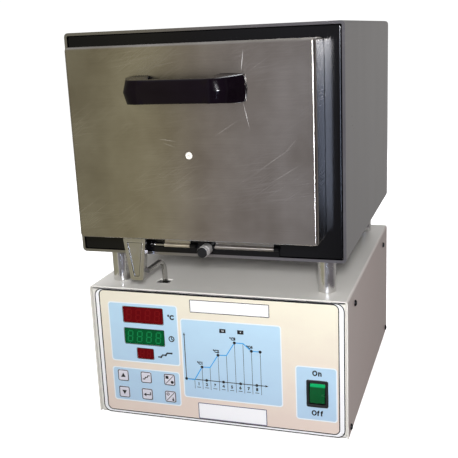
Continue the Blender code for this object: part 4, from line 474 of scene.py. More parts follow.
def handleMesh(look):
    # a bridge lofted from the middle to both ends: a roofed bar that bends back and flares into two feet
    bar, grip, face, edge, slim, wide = (look[k] for k in ("bar", "grip", "face", "edge", "slim", "wide"))
    inner = face + look["ridge"] - look["depth"] - edge
    half = [  # how far along, its front, its back, half its height at the front and at the back
        (0, face, inner, slim, slim), (grip * 0.4, face, inner, slim, slim),
        (grip * 0.8, face, inner, slim, slim), (grip - edge, face, inner - edge, slim, slim),
        (grip + edge * 0.2, face, inner * 0.45, slim, (slim + wide) / 2),
        (grip + edge * 0.8, face, inner * 0.1, slim, wide - 0.4 * mm), (grip + edge * 1.3, face * 0.995, 0, slim, wide),
    ]
    for along, forward, near, far in look["bend"]:
        half.append((bar + along * mm, face * forward, 0, slim + near * mm, wide + far * mm))
    rings = [(-x, *rest) for x, *rest in reversed(half[1:])] + half
    bm = bmesh.new()
    loops = []
    for x, front, back, near, far in rings:
        lift = min(look["ridge"], front * 0.5)
        e = min(edge * (0.8 if abs(x) < grip else 0.4), (front - back) / 3)
        prow = math.copysign(look["prow"], x) * min(1, max(0, (abs(x) - grip) / (bar - grip)))
        prow *= 0.3 + 0.7 * front / face  # the point dies away towards the foot
        upper = [  # from the crease up over the edge and round to the back
            (front + lift, 0.3 * mm), (front + lift * 0.90, 1.2 * mm), (front + lift * 0.12, near - e * 0.9),
            (front - e * 0.3, near - e * 0.15), (front - e * 1.3, near), (back + e * 1.4, far * 0.6 + near * 0.4),
            (back + e * 0.4, far), (back, far - e * 0.4), (back, far - e * 1.2),
        ]
        rows = [(off, -z) for off, z in reversed(upper)] + upper
        loop = []
        for off, z in rows:
            push = prow * max(0, 1 - abs(z) / near) if off > front * 0.9 else 0
            loop.append(bm.verts.new((x + push, look["front"] - off, look["rise"] + z)))
        loops.append(loop)
    for near, far in zip(loops, loops[1:]):
        for i in range(len(near)):
            bm.faces.new((near[i - 1], near[i], far[i], far[i - 1]))
    bm.faces.new(loops[0])
    bm.faces.new(list(reversed(loops[-1])))
    bmesh.ops.recalc_face_normals(bm, faces=bm.faces)
    for facet in bm.faces:
        facet.smooth = True
    mesh = bpy.data.meshes.new("doorHandle")
    bm.to_mesh(mesh)
    bm.free()
    return mesh


handle = bpy.data.objects.new("doorHandle", handleMesh(handleLook))
scene.collection.objects.link(handle)
rounding = handle.modifiers.new("rounding", "SUBSURF")
rounding.levels = rounding.render_levels = 2
bakeModifiers(handle)
handle.data.materials.append(handlePlastic)
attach(handle, "door")
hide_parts("door_handle")
print("handle made")

tubeLook = {"radius": 9.8 * mm, "wall": 1.5 * mm, "low": 166.3 * mm, "high": 209.1 * mm, "sides": 64, "lip": 0.5 * mm,
            "spots": {"front_left": (-122.2, -104.5), "front_right": (122.2, -104.5), "rear_left": (-122.2, 165.0),
                      "rear_right": (122.2, 165.0)}}


def turnedMesh(name, profile, centre, sides, axis="Z"):
    # a closed profile of radius and height, turned round Z or Y
    bm = bmesh.new()
    turns = [(math.cos(2 * math.pi * i / sides), math.sin(2 * math.pi * i / sides)) for i in range(sides)]
    rings = []
    for radius, height in profile:
        ring = []
        for c, s in turns:
            spot = (radius * c, radius * s, height) if axis == "Z" else (radius * c, height, radius * s)
            ring.append(bm.verts.new(Vector(spot) + Vector(centre)))
        rings.append(ring)
    for lower, upper in zip(rings, rings[1:] + rings[:1]):
        for i in range(sides):
            bm.faces.new((lower[i - 1], lower[i], upper[i], upper[i - 1]))
    bmesh.ops.recalc_face_normals(bm, faces=bm.faces)
    mesh = bpy.data.meshes.new(name)
    bm.to_mesh(mesh)
    bm.free()
    smoothBy(mesh, 35)
    return mesh


r, wall, lip, low, high = (tubeLook[k] for k in ("radius", "wall", "lip", "low", "high"))
profile = [(r - wall, low), (r - lip, low), (r, low + lip), (r, high - lip), (r - lip, high), (r - wall, high)]
for corner, (x, y) in tubeLook["spots"].items():
    post = addPiece("tube_" + corner, turnedMesh("tube", profile, (x * mm, y * mm, 0), tubeLook["sides"]),
                    "furnace", polished)
    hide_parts("post_" + corner)
print("posts made")

stopLook = {"x": 0.0, "z": 218.6, "radius": 5.8, "back": -153.2, "front": -159.2, "pad": 1.0, "ease": 0.6, "sides": 48}
sightLook = {"x": 0.0, "z": 325.4, "radius": 3.6, "bore": 0.75, "mouth": 1.3, "ease": 0.4, "sides": 40}


def stopCapMeshes(look):
    # a cast cup over the stub, and the rubber face let into its front end
    r, e, back, front, pad = (look[k] * mm for k in ("radius", "ease", "back", "front", "pad"))
    centre = (look["x"] * mm, 0, look["z"] * mm)
    seat = front + pad
    cup = [(r * 0.3, back), (r - e, back), (r, back - e), (r, seat), (r - e, seat - e * 0.5), (r * 0.3, seat)]
    face = [(r * 0.02, seat - e * 0.6), (r - e, seat - e * 0.6), (r - e * 0.4, front + e), (r - e * 1.6, front),
            (r * 0.02, front)]
    return [turnedMesh(name, profile, centre, look["sides"], "Y")
            for name, profile in (("stopCup", cup), ("stopFace", face))]


cupMesh, faceMesh = stopCapMeshes(stopLook)
stopCup = addPiece("stopCup", cupMesh, "furnace", zincCasting)
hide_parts("stop_bumper")
addPiece("stopFace", faceMesh, "furnace", rubber)

low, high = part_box("peephole_tube")
r, bore, mouth, e = (sightLook[k] * mm for k in ("radius", "bore", "mouth", "ease"))
front, back = low[1], high[1]
profile = [(bore, front + mouth), (mouth, front), (r - e, front), (r, front + e), (r, back - e), (r - e, back),
           (bore, back)]
tubeMesh = turnedMesh("sightTube", profile, (sightLook["x"] * mm, 0, sightLook["z"] * mm), sightLook["sides"], "Y")
sightTube = addPiece("sightTube", tubeMesh, "door", whiteCeramic)
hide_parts("peephole_tube")
print("stop and peephole made")

# flat print: closed thin plates in X and Z, cut from outlines, that face the front

def roundedPoints(x, z, width, height, radius):
    points = []
    for quarter, (sx, sz) in enumerate(((1, 1), (-1, 1), (-1, -1), (1, -1))):
        cx, cz = x + sx * (width / 2 - radius), z + sz * (height / 2 - radius)
        for step in range(7):
            angle = math.radians(90 * quarter + 15 * step)
            points.append((cx + radius * math.cos(angle), cz + radius * math.sin(angle)))
    return points


def boxPoints(left, low, right, high, radius=1.0):
    return roundedPoints((left + right) / 2, (low + high) / 2, right - left, high - low, radius)


def ovalPoints(x, z, wide, high, steps=32):
    turns = [2 * math.pi * i / steps for i in range(steps)]
    return [(x + wide * math.cos(a), z + high * math.sin(a)) for a in turns]


def circlePoints(x, z, radius, steps=20):
    return ovalPoints(x, z, radius, radius, steps)


def strokePoints(points, width):
    # one outline round a bent line, with mitred corners
    sides = ([], [])
    for i, point in enumerate(points):
        here = Vector(point)
        back = (here - Vector(points[i - 1])).normalized() if i else None
        ahead = (Vector(points[i + 1]) - here).normalized() if i < len(points) - 1 else None
        way = (back or ahead) + (ahead or back)
        across = Vector((-way.y, way.x)).normalized()
        square = Vector((-(ahead or back).y, (ahead or back).x))
        reach = width / 2 / max(0.3, across.dot(square))
        sides[0].append(tuple(here + across * reach))
        sides[1].append(tuple(here - across * reach))
    return sides[0] + sides[1][::-1]


def printMesh(name, outlines, front, thickness):
    # outlines in millimetres; an outline inside another is a hole
    curve = bpy.data.curves.new(name, "CURVE")
    curve.dimensions, curve.fill_mode = "2D", "BOTH"
    curve.extrude = thickness * mm / 2
    for outline in outlines:
        spline = curve.splines.new("POLY")
        spline.points.add(len(outline) - 1)
        for point, (x, z) in zip(spline.points, outline):
            point.co = (x * mm, z * mm, 0, 1)
        spline.use_cyclic_u = True
    return meshOfFlat(name, curve, (0, (front + thickness / 2) * mm, 0))


def meshOfFlat(name, data, place):
    holder = bpy.data.objects.new(name, data)
    scene.collection.objects.link(holder)
    bpy.context.view_layer.update()
    mesh = bpy.data.meshes.new_from_object(holder.evaluated_get(bpy.context.evaluated_depsgraph_get()))
    bpy.data.objects.remove(holder)
    mesh.transform(Matrix.Translation(place) @ Matrix.Rotation(math.radians(90), 4, "X"))
    bm = bmesh.new()
    bm.from_mesh(mesh)
    bmesh.ops.remove_doubles(bm, verts=bm.verts, dist=0.000001)
    bmesh.ops.recalc_face_normals(bm, faces=bm.faces)
    bm.to_mesh(mesh)
    bm.free()
    mesh.name = name
    return mesh


def wordMesh(word, x, z, size, front, thickness, bold):
    text = bpy.data.curves.new("word", "FONT")
    text.body, text.size = word, size * mm
    text.align_x, text.align_y = "CENTER", "CENTER"
    text.extrude, text.offset = thickness * mm / 2, bold * mm
    return meshOfFlat("word", text, (x * mm, (front + thickness / 2) * mm, z * mm))


def joinMeshes(name, meshes):
    bm = bmesh.new()
    for mesh in meshes:
        bm.from_mesh(mesh)
    joined = bpy.data.meshes.new(name)
    bm.to_mesh(joined)
    bm.free()
    return joined


panel = {
    "film": -137.1, "layer": 0.06,  # the film's front face, and how thick a printed layer is drawn
    "field": (-137.5, 12.8, 140.6, 162.4), "fieldCorner": 6.0, "line": 1.15,
    "rim": (-142.6, 9.7, 146.4, 163.5), "rimCorner": 8.5,
    "display": (-127.5, 76.0, -41.5, 149.0), "keys": (-128.0, 26.0, -43.0, 68.5),
    "graph": (-39.0, 38.5, 78.0, 134.5), "switch": (92.5, 26.7, 138.5, 90.3), "corner": 3.5, "innerCorner": 2.7,
    "panelRim": 1.3, "clear": 0.35, "bezelLap": 0.6, "windowCorner": 0.9, "keyCorner": 2.3, "bezelCorner": 1.4,
    "upperPlate": (-26.0, 142.9, 64.9, 157.1), "lowerPlate": (-22.0, 14.0, 58.6, 33.0),
    "windows": ((-84.2, 134.5, 48.8, 18.6), (-84.2, 108.3, 48.8, 18.6), (-84.2, 87.7, 20.0, 12.2)),
    "keyColumns": (-114.7, -85.45, -56.2), "keyRows": (58.0, 36.9), "keySize": (13.6, 14.0),
    "bezel": (116.8, 59.5, 24.0, 31.2), "recessShade": ((1.5, 1.5), (0.3, 0.9)),
}


def holes(inside):
    # what stands through the film inside a given box
    left, low, right, high = inside
    clear, lap = panel["clear"], panel["bezelLap"]
    wide, tall = panel["keySize"]
    found = [(x, z, width + clear, height + clear, panel["windowCorner"]) for x, z, width, height in panel["windows"]]
    found += [(x, z, wide + clear, tall + clear, panel["keyCorner"])
              for x in panel["keyColumns"] for z in panel["keyRows"]]
    x, z, width, height = panel["bezel"]
    found.append((x, z, width - lap, height - lap, panel["bezelCorner"]))
    return [roundedPoints(*spot) for spot in found if left < spot[0] < right and low < spot[1] < high]


film, layer = panel["film"], panel["layer"]
layers = [film - layer * (i + 1) for i in range(5)]


def printLayer(name, outlines, level, finish):
    mesh = printMesh(name, outlines, layers[level], layer * (level + 1))
    return addPiece(name, mesh, "furnace", finish)


def grown(box, by):
    return (box[0] - by, box[1] - by, box[2] + by, box[3] + by)


def framePair(box, corner, width):
    return [boxPoints(*grown(box, by), corner + by) for by in (width / 2, -width / 2)]


blues = {name: boxPoints(*panel[name], panel["corner"]) for name in ("display", "keys", "graph", "switch")}
printLayer("printField", [boxPoints(*panel["field"], panel["fieldCorner"]), *blues.values()], 0, panelPrint)
for name, outline in blues.items():
    inner = grown(panel[name], -panel["panelRim"])
    innerOutline = boxPoints(*inner, panel["innerCorner"])
    printLayer(name + "Rim", [outline, innerOutline], 0, rimPrint)
    printLayer(name + "Panel", [innerOutline] + holes(inner), 0, bluePrint)
printLayer("borderLines", framePair(panel["field"], panel["fieldCorner"], panel["line"]), 1, blackInk)
printLayer("edgeLines", framePair(panel["rim"], panel["rimCorner"], panel["line"]), 1, blackInk)
for name, finish in (("upperPlate", blackInk), ("lowerPlate", navyInk)):
    printLayer(name, [boxPoints(*panel[name], 0.4)], 1, whitePrint)
    printLayer(name + "Line", framePair(panel[name], 0.6, 0.8), 2, finish)
# dark rings just outside the display windows: painted shade of the windows' recesses
recessShadeRings = [roundedPoints(x, z, width + by, height + by, corner) for x, z, width, height in panel["windows"]
           for by, corner in panel["recessShade"]]
printLayer("windowRecessShade", recessShadeRings, 1, blackInk)
print("panel printed")

chart = {
    "corner": (-35.0, 61.8), "top": 115.5, "right": 60.7,
    "steps": ((-35.0, 61.6), (-25.0, 61.4), (-15.4, 77.8), (-5.8, 78.0), (4.4, 93.9), (14.3, 94.3), (24.3, 110.2),
              (34.1, 110.4), (43.6, 102.1), (53.6, 102.0)),
    "dots": ((-15.4, 77.8), (4.4, 93.9), (24.3, 110.2), (43.6, 102.1), (53.6, 102.0), (-35.0, 61.8), (-10.6, 61.8),
             (9.5, 61.8), (29.6, 61.8), (48.4, 61.8)),
    "foot": 50.5, "marks": ((11.0, 123.2), (31.8, 123.2)), "numbers": (-20.2, -10.6, -0.7, 9.4, 19.3, 29.2, 38.8, 48.6),
    "axisStroke": 0.95, "baseStroke": 0.9, "dot": 1.7, "thread": 0.52, "curve": 1.1, "mark": (3.6, 2.3),
    "degree": (-2.2, 4.3, 4.4), "degreeBold": 0.32, "number": (56.6, 4.8), "numberBold": 0.28,
    "underline": (52.2, 52.9),
}
left, foot = chart["corner"]
top, right = chart["top"], chart["right"]
outlines = [
    strokePoints([(left, foot), (left, top)], chart["axisStroke"]),
    strokePoints([(left, foot), (right - 1, foot)], chart["baseStroke"]),
    [(right - 2.5, foot - 1.4), (right + 1.2, foot), (right - 2.5, foot + 1.4)],
    [(left - 1.1, top - 0.8), (left, top + 2.4), (left + 1.1, top - 0.8)],
]
wide, high = chart["mark"]
outlines += [boxPoints(x - wide, z - high, x + wide, z + high, 0.3) for x, z in chart["marks"]]
ink = [printMesh("ink", [outline], layers[1], layer * 2) for outline in outlines]
ink += [printMesh("ink", [circlePoints(x, z, chart["dot"])], layers[3], layer * 4) for x, z in chart["dots"]]
across, up, size = chart["degree"]
for i, (x, z) in enumerate(chart["dots"][:4]):
    ink.append(wordMesh("°C" + str(i + 1), x + across, z + up, size, layers[1], layer * 2, chart["degreeBold"]))
low, high = chart["underline"]
for i, x in enumerate(chart["numbers"]):
    ink.append(wordMesh(str(i + 1), x, *chart["number"], layers[1], layer * 2, chart["numberBold"]))
    ink.append(printMesh("ink", [boxPoints(x - 2.3, low, x + 2.3, high, 0.2)], layers[1], layer * 2))
addPiece("chartInk", joinMeshes("chartInk", ink), "furnace", blackInk)
threads = [printMesh("thread", [strokePoints([(x, chart["foot"]), (x, z - 0.6)], chart["thread"])],
                     layers[0] - 0.02, layer + 0.02) for x, z in chart["steps"][1:]]
addPiece("chartThreads", joinMeshes("chartThreads", threads), "furnace", greyInk)
addPiece("chartCurve", printMesh("chartCurve", [strokePoints(chart["steps"], chart["curve"])], layers[2], layer * 3),
         "furnace", blueInk)
signs = [printMesh("sign", [outline], layers[2], layer * 3)
         for outline in (boxPoints(9.6, 122.7, 12.6, 123.7, 0.2), [(30.9, 124.0), (31.8, 122.5), (32.7, 124.0)])]
addPiece("chartSigns", joinMeshes("chartSigns", signs), "furnace", rimPrint)


def lettered(word, x, z, height, stroke):
    # upright letters from round strokes: capitals as tall as height, small letters two thirds of that
    low, small = z - height / 2, height * 0.68
    made, at = [], x
    for letter in word:
        if letter == "O":
            wide = height * 0.42
            made.append([ovalPoints(at + wide, z, wide + by, height / 2 + by) for by in (stroke / 2, -stroke / 2)])
            at += wide * 2 + stroke * 1.45
        elif letter == "n":
            bow = small * 0.36
            arch = [(at + bow + bow * math.cos(a), low + small - bow + bow * math.sin(a)) for a in
                    (math.radians(d) for d in range(180, -1, -20))]
            made.append([strokePoints([(at, low - stroke / 2), (at, low + small + stroke / 2)], stroke)])
            made.append([strokePoints(arch + [(at + bow * 2, low - stroke / 2)], stroke)])
            at += bow * 2 + stroke * 1.45
        elif letter == "f":
            bow = small * 0.34
            hook = [(at + bow + bow * math.cos(a), low + height - bow + bow * math.sin(a)) for a in
                    (math.radians(d) for d in range(180, 69, -22))]
            made.append([strokePoints([(at, low - stroke / 2)] + hook, stroke)])
            made.append([strokePoints([(at - bow * 0.9, low + small), (at + bow * 1.3, low + small)], stroke)])
            at += bow * 1.6 + stroke * 1.3
    return [printMesh("letter", outlines, layers[1] - 0.003 * (i % 2), layer * 2) for i, outlines in enumerate(made)]


paddleLook = {"centre": -78.7, "foot": 183.0, "height": 47.5, "top": 13.3, "low": 7.5, "front": -156.4, "proud": 0.12,
              "edgeHighlight": (3.6, 4.3), "crease": (4.3, 4.8)}  # between which two insets each line runs


def paddleRing(look, outer, inner):
    # a thin line that follows the pressed paddle's pocket, between two insets
    rings = []
    for inset in (outer, inner):
        low, top = look["foot"] + inset, look["foot"] + look["height"] - inset
        rings.append([(look["centre"] - look["low"] + inset, low), (look["centre"] + look["low"] - inset, low),
                      (look["centre"] + look["top"] - inset, top), (look["centre"] - look["top"] + inset, top)])
    return printMesh("paddleRing", rings, look["front"] - look["proud"], look["proud"] + 0.05)


# a light ring painted on as the highlight along the pocket's edge, and a dark ring painted on as the shade in the
# pocket's crease
addPiece("paddleEdgeHighlight", paddleRing(paddleLook, *paddleLook["edgeHighlight"]), "safety_lever", polished)
addPiece("paddleCreaseShade", paddleRing(paddleLook, *paddleLook["crease"]), "safety_lever", boltBlack)
print("paddle pressed")

signLook = {
    "on": (112.0, 82.8), "off": (110.6, 36.0), "letter": 5.0, "stroke": 1.5,
    "degrees": (-50.2, 134.3, 7.2), "bold": 0.42,
    "clock": (-50.6, 108.5), "rim": (3.6, 2.4), "hands": ((-50.6, 110.8), (-50.6, 108.3), (-48.9, 107.4)), "hand": 1.05,
    "stairs": ((-68.5, 85.2), (-65.0, 85.2), (-63.0, 88.0), (-59.0, 88.0), (-57.0, 90.8), (-51.5, 90.8)), "step": 1.6,
    "stops": ((-65.0, 85.2), (-59.0, 88.0), (-51.5, 90.8)), "stop": 1.1,
}
words = [mesh for word in ("On", "Off")
         for mesh in lettered(word, *signLook[word.lower()], signLook["letter"], signLook["stroke"])]
words.append(wordMesh("°C", *signLook["degrees"], layers[1], layer * 2, signLook["bold"]))
for outlines in ([circlePoints(*signLook["clock"], radius, 28) for radius in signLook["rim"]],
                 [strokePoints(signLook["hands"], signLook["hand"])],
                 [strokePoints(signLook["stairs"], signLook["step"])]):
    words.append(printMesh("sign", outlines, layers[1], layer * 2))
for x, z in signLook["stops"]:
    words.append(printMesh("stop", [circlePoints(x, z, signLook["stop"])], layers[3], layer * 4))
addPiece("panelWords", joinMeshes("panelWords", words), "furnace", blackInk)
print("chart and words printed")

keyLook = {"front": -137.5, "ink": 0.05, "sunk": 0.02, "lift": 0.004, "ring": ((13.4, 13.8, 2.1), (11.6, 12.0, 1.3))}
keySigns = {
    "raise": [[(-3.0, -2.2), (3.0, -2.2), (0.0, 3.0)]],
    "lower": [[(-3.0, 2.2), (0.0, -3.0), (3.0, 2.2)]],
    "program": [strokePoints([(-4.6, -2.2), (-2.0, -2.2), (-0.8, 0.2), (1.2, 0.2), (2.4, 2.4), (4.6, 2.4)], 1.2)],
    "enter": [strokePoints([(4.0, 2.8), (4.0, -0.6), (-1.6, -0.6)], 1.1), [(-1.4, -3.0), (-1.4, 1.8), (-4.8, -0.6)]],
    "mode": [strokePoints([(-4.9, -5.2), (4.9, 5.2)], 0.7), boxPoints(-4.8, 1.0, -1.2, 4.6, 0.2),
             circlePoints(3.2, -2.9, 1.9)],
    "time": [strokePoints([(-4.9, -5.2), (4.9, 5.2)], 0.7), circlePoints(-3.0, 3.0, 1.9), circlePoints(-3.0, 3.0, 1.0),
             strokePoints([(3.1, -0.8), (3.1, -3.2)], 1.0), circlePoints(3.1, -3.9, 1.3)],
}
for row, names in enumerate((("raise", "program", "mode"), ("lower", "enter", "time"))):
    for column, name in enumerate(names):
        x, z = panel["keyColumns"][column], panel["keyRows"][row]
        ring = [roundedPoints(x, z, *size) for size in keyLook["ring"]]
        signs = [[(x + px, z + pz) for px, pz in outline] for outline in keySigns[name]]
        groups = [ring] + [[outline] for outline in signs]
        if name == "time":  # the small circle is a hole in the larger one
            groups = [ring, [signs[0]], [signs[1], signs[2]], [signs[3]], [signs[4]]]
        parts = []
        for level, group in enumerate(groups):
            front = keyLook["front"] - keyLook["ink"] - keyLook["lift"] * max(0, level - 1)
            parts.append(printMesh("sign", group, front, keyLook["ink"] + keyLook["sunk"]))
        addPiece("print_" + name, joinMeshes("print_" + name, parts), name + "_key", blackInk)
print("keys printed")


def startGroup(name, values, fromPoints=False):
    # a tree with named inputs: gives it, its input sockets by name, and their identifiers
    group = bpy.data.node_groups.new(name, "GeometryNodeTree")
    group.is_modifier = True
    group.interface.new_socket(name="Geometry", in_out="OUTPUT", socket_type="NodeSocketGeometry")
    if fromPoints:
        group.interface.new_socket(name="Geometry", in_out="INPUT", socket_type="NodeSocketGeometry")
    ids = {}
    for label, value in {**values, "Material": None}.items():
        kind = {int: "NodeSocketInt", float: "NodeSocketFloat", type(None): "NodeSocketMaterial"}[type(value)]
        socket = group.interface.new_socket(name=label, in_out="INPUT", socket_type=kind)
        socket.default_value = value
        ids[label] = socket.identifier
    return group, addNode(group, "NodeGroupInput").node.outputs, ids


def endGroup(group, given, shape):
    real = addNode(group, "GeometryNodeRealizeInstances", Geometry=shape)
    dressed = addNode(group, "GeometryNodeSetMaterial", Geometry=real, Material=given["Material"])
    addNode(group, "NodeGroupOutput", Geometry=dressed)


def growNodes(name, group, ids, values, start=None):
    holder = bpy.data.objects.new(name, start or bpy.data.meshes.new(name))
    scene.collection.objects.link(holder)
    modifier = holder.modifiers.new(name, "NODES")
    modifier.node_group = group
    for key, value in values.items():
        modifier[ids[key]] = value
    mesh = bakeModifiers(holder)
    bpy.data.objects.remove(holder)
    return mesh


# seven-segment digits, all segments drawn because the displays are off
digitLook = {
    "width": 7.0, "height": 12.6, "stroke": 1.35, "slant": 0.12, "pitch": 11.6, "proud": 0.08, "sunk": 0.02,
    # how many, their middle in x and z, scale, finish and slot
    "rows": {"upperDigits": (4, -84.2, 134.5, 1.0, redSegment, "red_window"),
             "lowerDigits": (4, -84.2, 108.3, 1.0, greenSegment, "green_window"),
             "programDigits": (2, -84.2, 87.7, 0.72, redSegment, "red_window")},
}


def digitTree():
    group, given, ids = startGroup("sevenSegmentRow", {
        "Count": 4, "Digit Width": 0.0066, "Digit Height": 0.012, "Stroke": 0.00125, "Depth": 0.0002, "Pitch": 0.0116,
        "Slant": 0.12})
    add = functools.partial(addNode, group)
    half = mathOf(group, "MULTIPLY", given["Digit Height"], 0.5)
    down = mathOf(group, "MULTIPLY", half, -1.0)
    midLow = mathOf(group, "MULTIPLY", half, -0.5)
    inner = mathOf(group, "SUBTRACT", given["Digit Width"], given["Stroke"])
    level = mathOf(group, "MULTIPLY", inner, 0.86)
    upright = mathOf(group, "SUBTRACT", half, given["Stroke"])
    sides = [mathOf(group, "MULTIPLY", inner, side) for side in (-0.5, 0.5)]
    step = add("ShaderNodeCombineXYZ", Z=half)
    joined = add("GeometryNodeJoinGeometry")
    # three level segments one above another, then two uprights on each side: how many, start and size of each
    for count, x, z, wide, high in ((3, 0.0, down, level, given["Stroke"]),
                                    (2, sides[0], midLow, given["Stroke"], upright),
                                    (2, sides[1], midLow, given["Stroke"], upright)):
        start = add("ShaderNodeCombineXYZ", X=x, Z=z)
        spots = add("GeometryNodeMeshLine", {"Count": count, "Start Location": start, "Offset": step})
        size = add("ShaderNodeCombineXYZ", X=wide, Y=given["Depth"], Z=high)
        bars = add("GeometryNodeInstanceOnPoints", Points=spots, Instance=add("GeometryNodeMeshCube", Size=size))
        group.links.new(bars, joined.node.inputs[0])
    row = add("GeometryNodeMeshLine", Count=given["Count"], Offset=add("ShaderNodeCombineXYZ", X=given["Pitch"]))
    digits = add("GeometryNodeInstanceOnPoints", Points=row, Instance=joined)
    real = add("GeometryNodeRealizeInstances", Geometry=digits)
    up = add("ShaderNodeSeparateXYZ", None, 2, Vector=add("GeometryNodeInputPosition"))
    lean = mathOf(group, "MULTIPLY", up, given["Slant"])
    endGroup(group, given, add("GeometryNodeSetPosition", Geometry=real, Offset=add("ShaderNodeCombineXYZ", X=lean)))
    return group, ids


digits, digitIds = digitTree()
for name, (count, x, z, scale, finish, slot) in digitLook["rows"].items():
    width, height, stroke, pitch = (digitLook[k] * scale for k in ("width", "height", "stroke", "pitch"))
    mesh = growNodes(name, digits, digitIds, {
        "Count": count, "Digit Width": width * mm, "Digit Height": height * mm, "Stroke": stroke * mm,
        "Depth": digitLook["proud"] * mm, "Pitch": pitch * mm, "Slant": digitLook["slant"], "Material": finish})
    place = ((x - pitch * (count - 1) / 2) * mm, (film - digitLook["sunk"]) * mm, z * mm)
    mesh.transform(Matrix.Translation(place))
    addPiece(name, mesh, "furnace")
print("digits made")

# pan-head screws with a cross slot, in the CAD's screw holes
screwLook = {
    "radius": 3.6 * mm, "height": 2.1 * mm, "slot": 0.9 * mm, "slotDepth": 1.0 * mm, "sides": 28,
    # where they sit in millimetres, and which way they face
    "cover": [((side * 150.0, y, z), (side, 0, 0)) for side in (-1, 1)
              for y, z in ((-90, 149), (154, 149), (-121, 15.5), (185, 15.5))],
    "rear": [((side * 143.0, 205.8, z), (0, 1, 0)) for side in (-1, 1) for z in (216.4, 329.4, 442.4)],
    "inlet": [((85.0 + side * 20.0, 203.3, 58.0), (0, 1, 0)) for side in (-1, 1)],
}


def screwTree():
    group, given, ids = startGroup("panHeadScrews", {
        "Head Radius": 0.0036, "Head Height": 0.0021, "Slot": 0.0009, "Slot Depth": 0.001, "Sides": 28}, True)
    add = functools.partial(addNode, group)
    shoulder, crownTop, armLength, drumHeight, crownHeight, cut = (
        mathOf(group, "MULTIPLY", given[label], share) for label, share in (
            ("Head Radius", 0.97), ("Head Radius", 0.62), ("Head Radius", 1.15), ("Head Height", 0.55),
            ("Head Height", 0.45), ("Slot Depth", 2.0)))
    drum = add("GeometryNodeMeshCone", {
        "fill_type": "NGON", "Vertices": given["Sides"], "Radius Top": shoulder, "Radius Bottom": given["Head Radius"],
        "Depth": drumHeight})
    crown = add("GeometryNodeMeshCone", {
        "fill_type": "NGON", "Vertices": given["Sides"], "Radius Top": crownTop, "Radius Bottom": shoulder,
        "Depth": crownHeight})
    raised = add("GeometryNodeTransform", Geometry=crown, Translation=add("ShaderNodeCombineXYZ", Z=drumHeight))
    head = add("GeometryNodeMeshBoolean", {"operation": "UNION", "solver": "EXACT"})
    for part in (drum, raised):
        group.links.new(part, head.node.inputs[1])
    recess = add("GeometryNodeMeshBoolean", {"operation": "DIFFERENCE", "solver": "EXACT", 0: head})
    top = add("ShaderNodeCombineXYZ", Z=given["Head Height"])
    for along, across in (("X", "Y"), ("Y", "X")):
        size = add("ShaderNodeCombineXYZ", {along: armLength, across: given["Slot"], "Z": cut})
        arm = add("GeometryNodeTransform", Geometry=add("GeometryNodeMeshCube", Size=size), Translation=top)
        group.links.new(arm, recess.node.inputs[1])
    facing = add("GeometryNodeInputNamedAttribute", {"data_type": "FLOAT_VECTOR", "Name": "facing"})
    turn = add("FunctionNodeAlignRotationToVector", {"axis": "Z"}, Vector=facing)
    heads = add("GeometryNodeInstanceOnPoints", Points=given["Geometry"], Instance=recess, Rotation=turn)
    endGroup(group, given, heads)
    return group, ids


def pointMesh(name, spots):
    mesh = bpy.data.meshes.new(name)
    mesh.from_pydata([tuple(Vector(place) * mm) for place, way in spots], [], [])
    facing = mesh.attributes.new("facing", "FLOAT_VECTOR", "POINT")
    for i, (place, way) in enumerate(spots):
        facing.data[i].vector = way
    return mesh


screws, screwIds = screwTree()
for name, spots, finish, slot, size in (("coverScrews", "cover", boltBlack, "black_enamel", 1.0),
                                        ("rearScrews", "rear", plated, "zinc_plated_steel", 1.0),
                                        ("inletScrews", "inlet", plated, "zinc_plated_steel", 0.75)):
    radius, height, slotWidth, slotDepth = (screwLook[k] * size for k in ("radius", "height", "slot", "slotDepth"))
    mesh = growNodes(name, screws, screwIds, {
        "Head Radius": radius, "Head Height": height, "Slot": slotWidth, "Slot Depth": slotDepth,
        "Sides": screwLook["sides"], "Material": finish}, pointMesh(name, screwLook[spots]))
    smoothBy(mesh, 30)
    addPiece(name, mesh, "furnace")
print("screws made")

roomLook = {
    "floorRadius": 4.0, "floorGlow": 0.85, "backdrop": 1.05, "fill": 0.32,  # fill is the world's share on matt surfaces
    # what stands round the front, from left to right: how far across it is, and its tone
    "around": ((-0.55, "#9b9782"), (-0.47, "#a29e87"), (-0.425, "#c4bf9f"), (-0.378, "#b4ae90"), (-0.355, "#aaa29e"),
               (-0.30, "#b0acaf"), (-0.21, "#bcbbc3"), (-0.16, "#6c6a6c"), (0.1, "#6e6a68")),
    # then the rest of the room: along which axis, from where to where it takes over, and its tone
    "beyond": ((0, 0.2, 0.8, "#6a666a"), (1, 0.0, 0.6, "#9b9997"), (2, 0.5, 0.95, "#d4d6da")),
}
lampLook = {
    # place, aim, size, watts, colour, shows in gloss, lights matt surfaces
    "flash": ((0.29, -0.92, 0.52), (0.0, 0.0, 0.22), (0.09, 0.11), 10.0, "#fcfcff", True, True),
    "edgeCard": ((0.29, -0.95, 0.30), (0.14, -0.15, 0.30), (0.05, 0.44), 2.1, "#ccdcff", True, False),
    "softbox": ((-0.7, -1.0, 1.3), (0.0, 0.0, 0.2), (0.8, 0.8), 0.7, "#fcfcff", False, True),
    "rearbox": ((0.1, 1.8, 0.8), (0.0, 0.2, 0.25), (1.2, 0.8), 12.0, "#fcfcff", False, True),
    "overhead": ((-0.7, 0.1, 1.7), (0.0, 0.0, 0.1), (1.2, 1.2), 15.0, "#f8faff", False, True),
    "sideGlow": ((0.75, 0.0, 0.06), (0.15, 0.0, 0.06), (0.5, 0.1), 0.3, "#ff867c", False, True),
}
cameraLook = {
    "place": (0.2799, -0.9019, 0.4408), "pitch": 0.244, "roll": -0.044, "yaw": -0.323, "lens": 61.37, "sensor": 36.0,
}

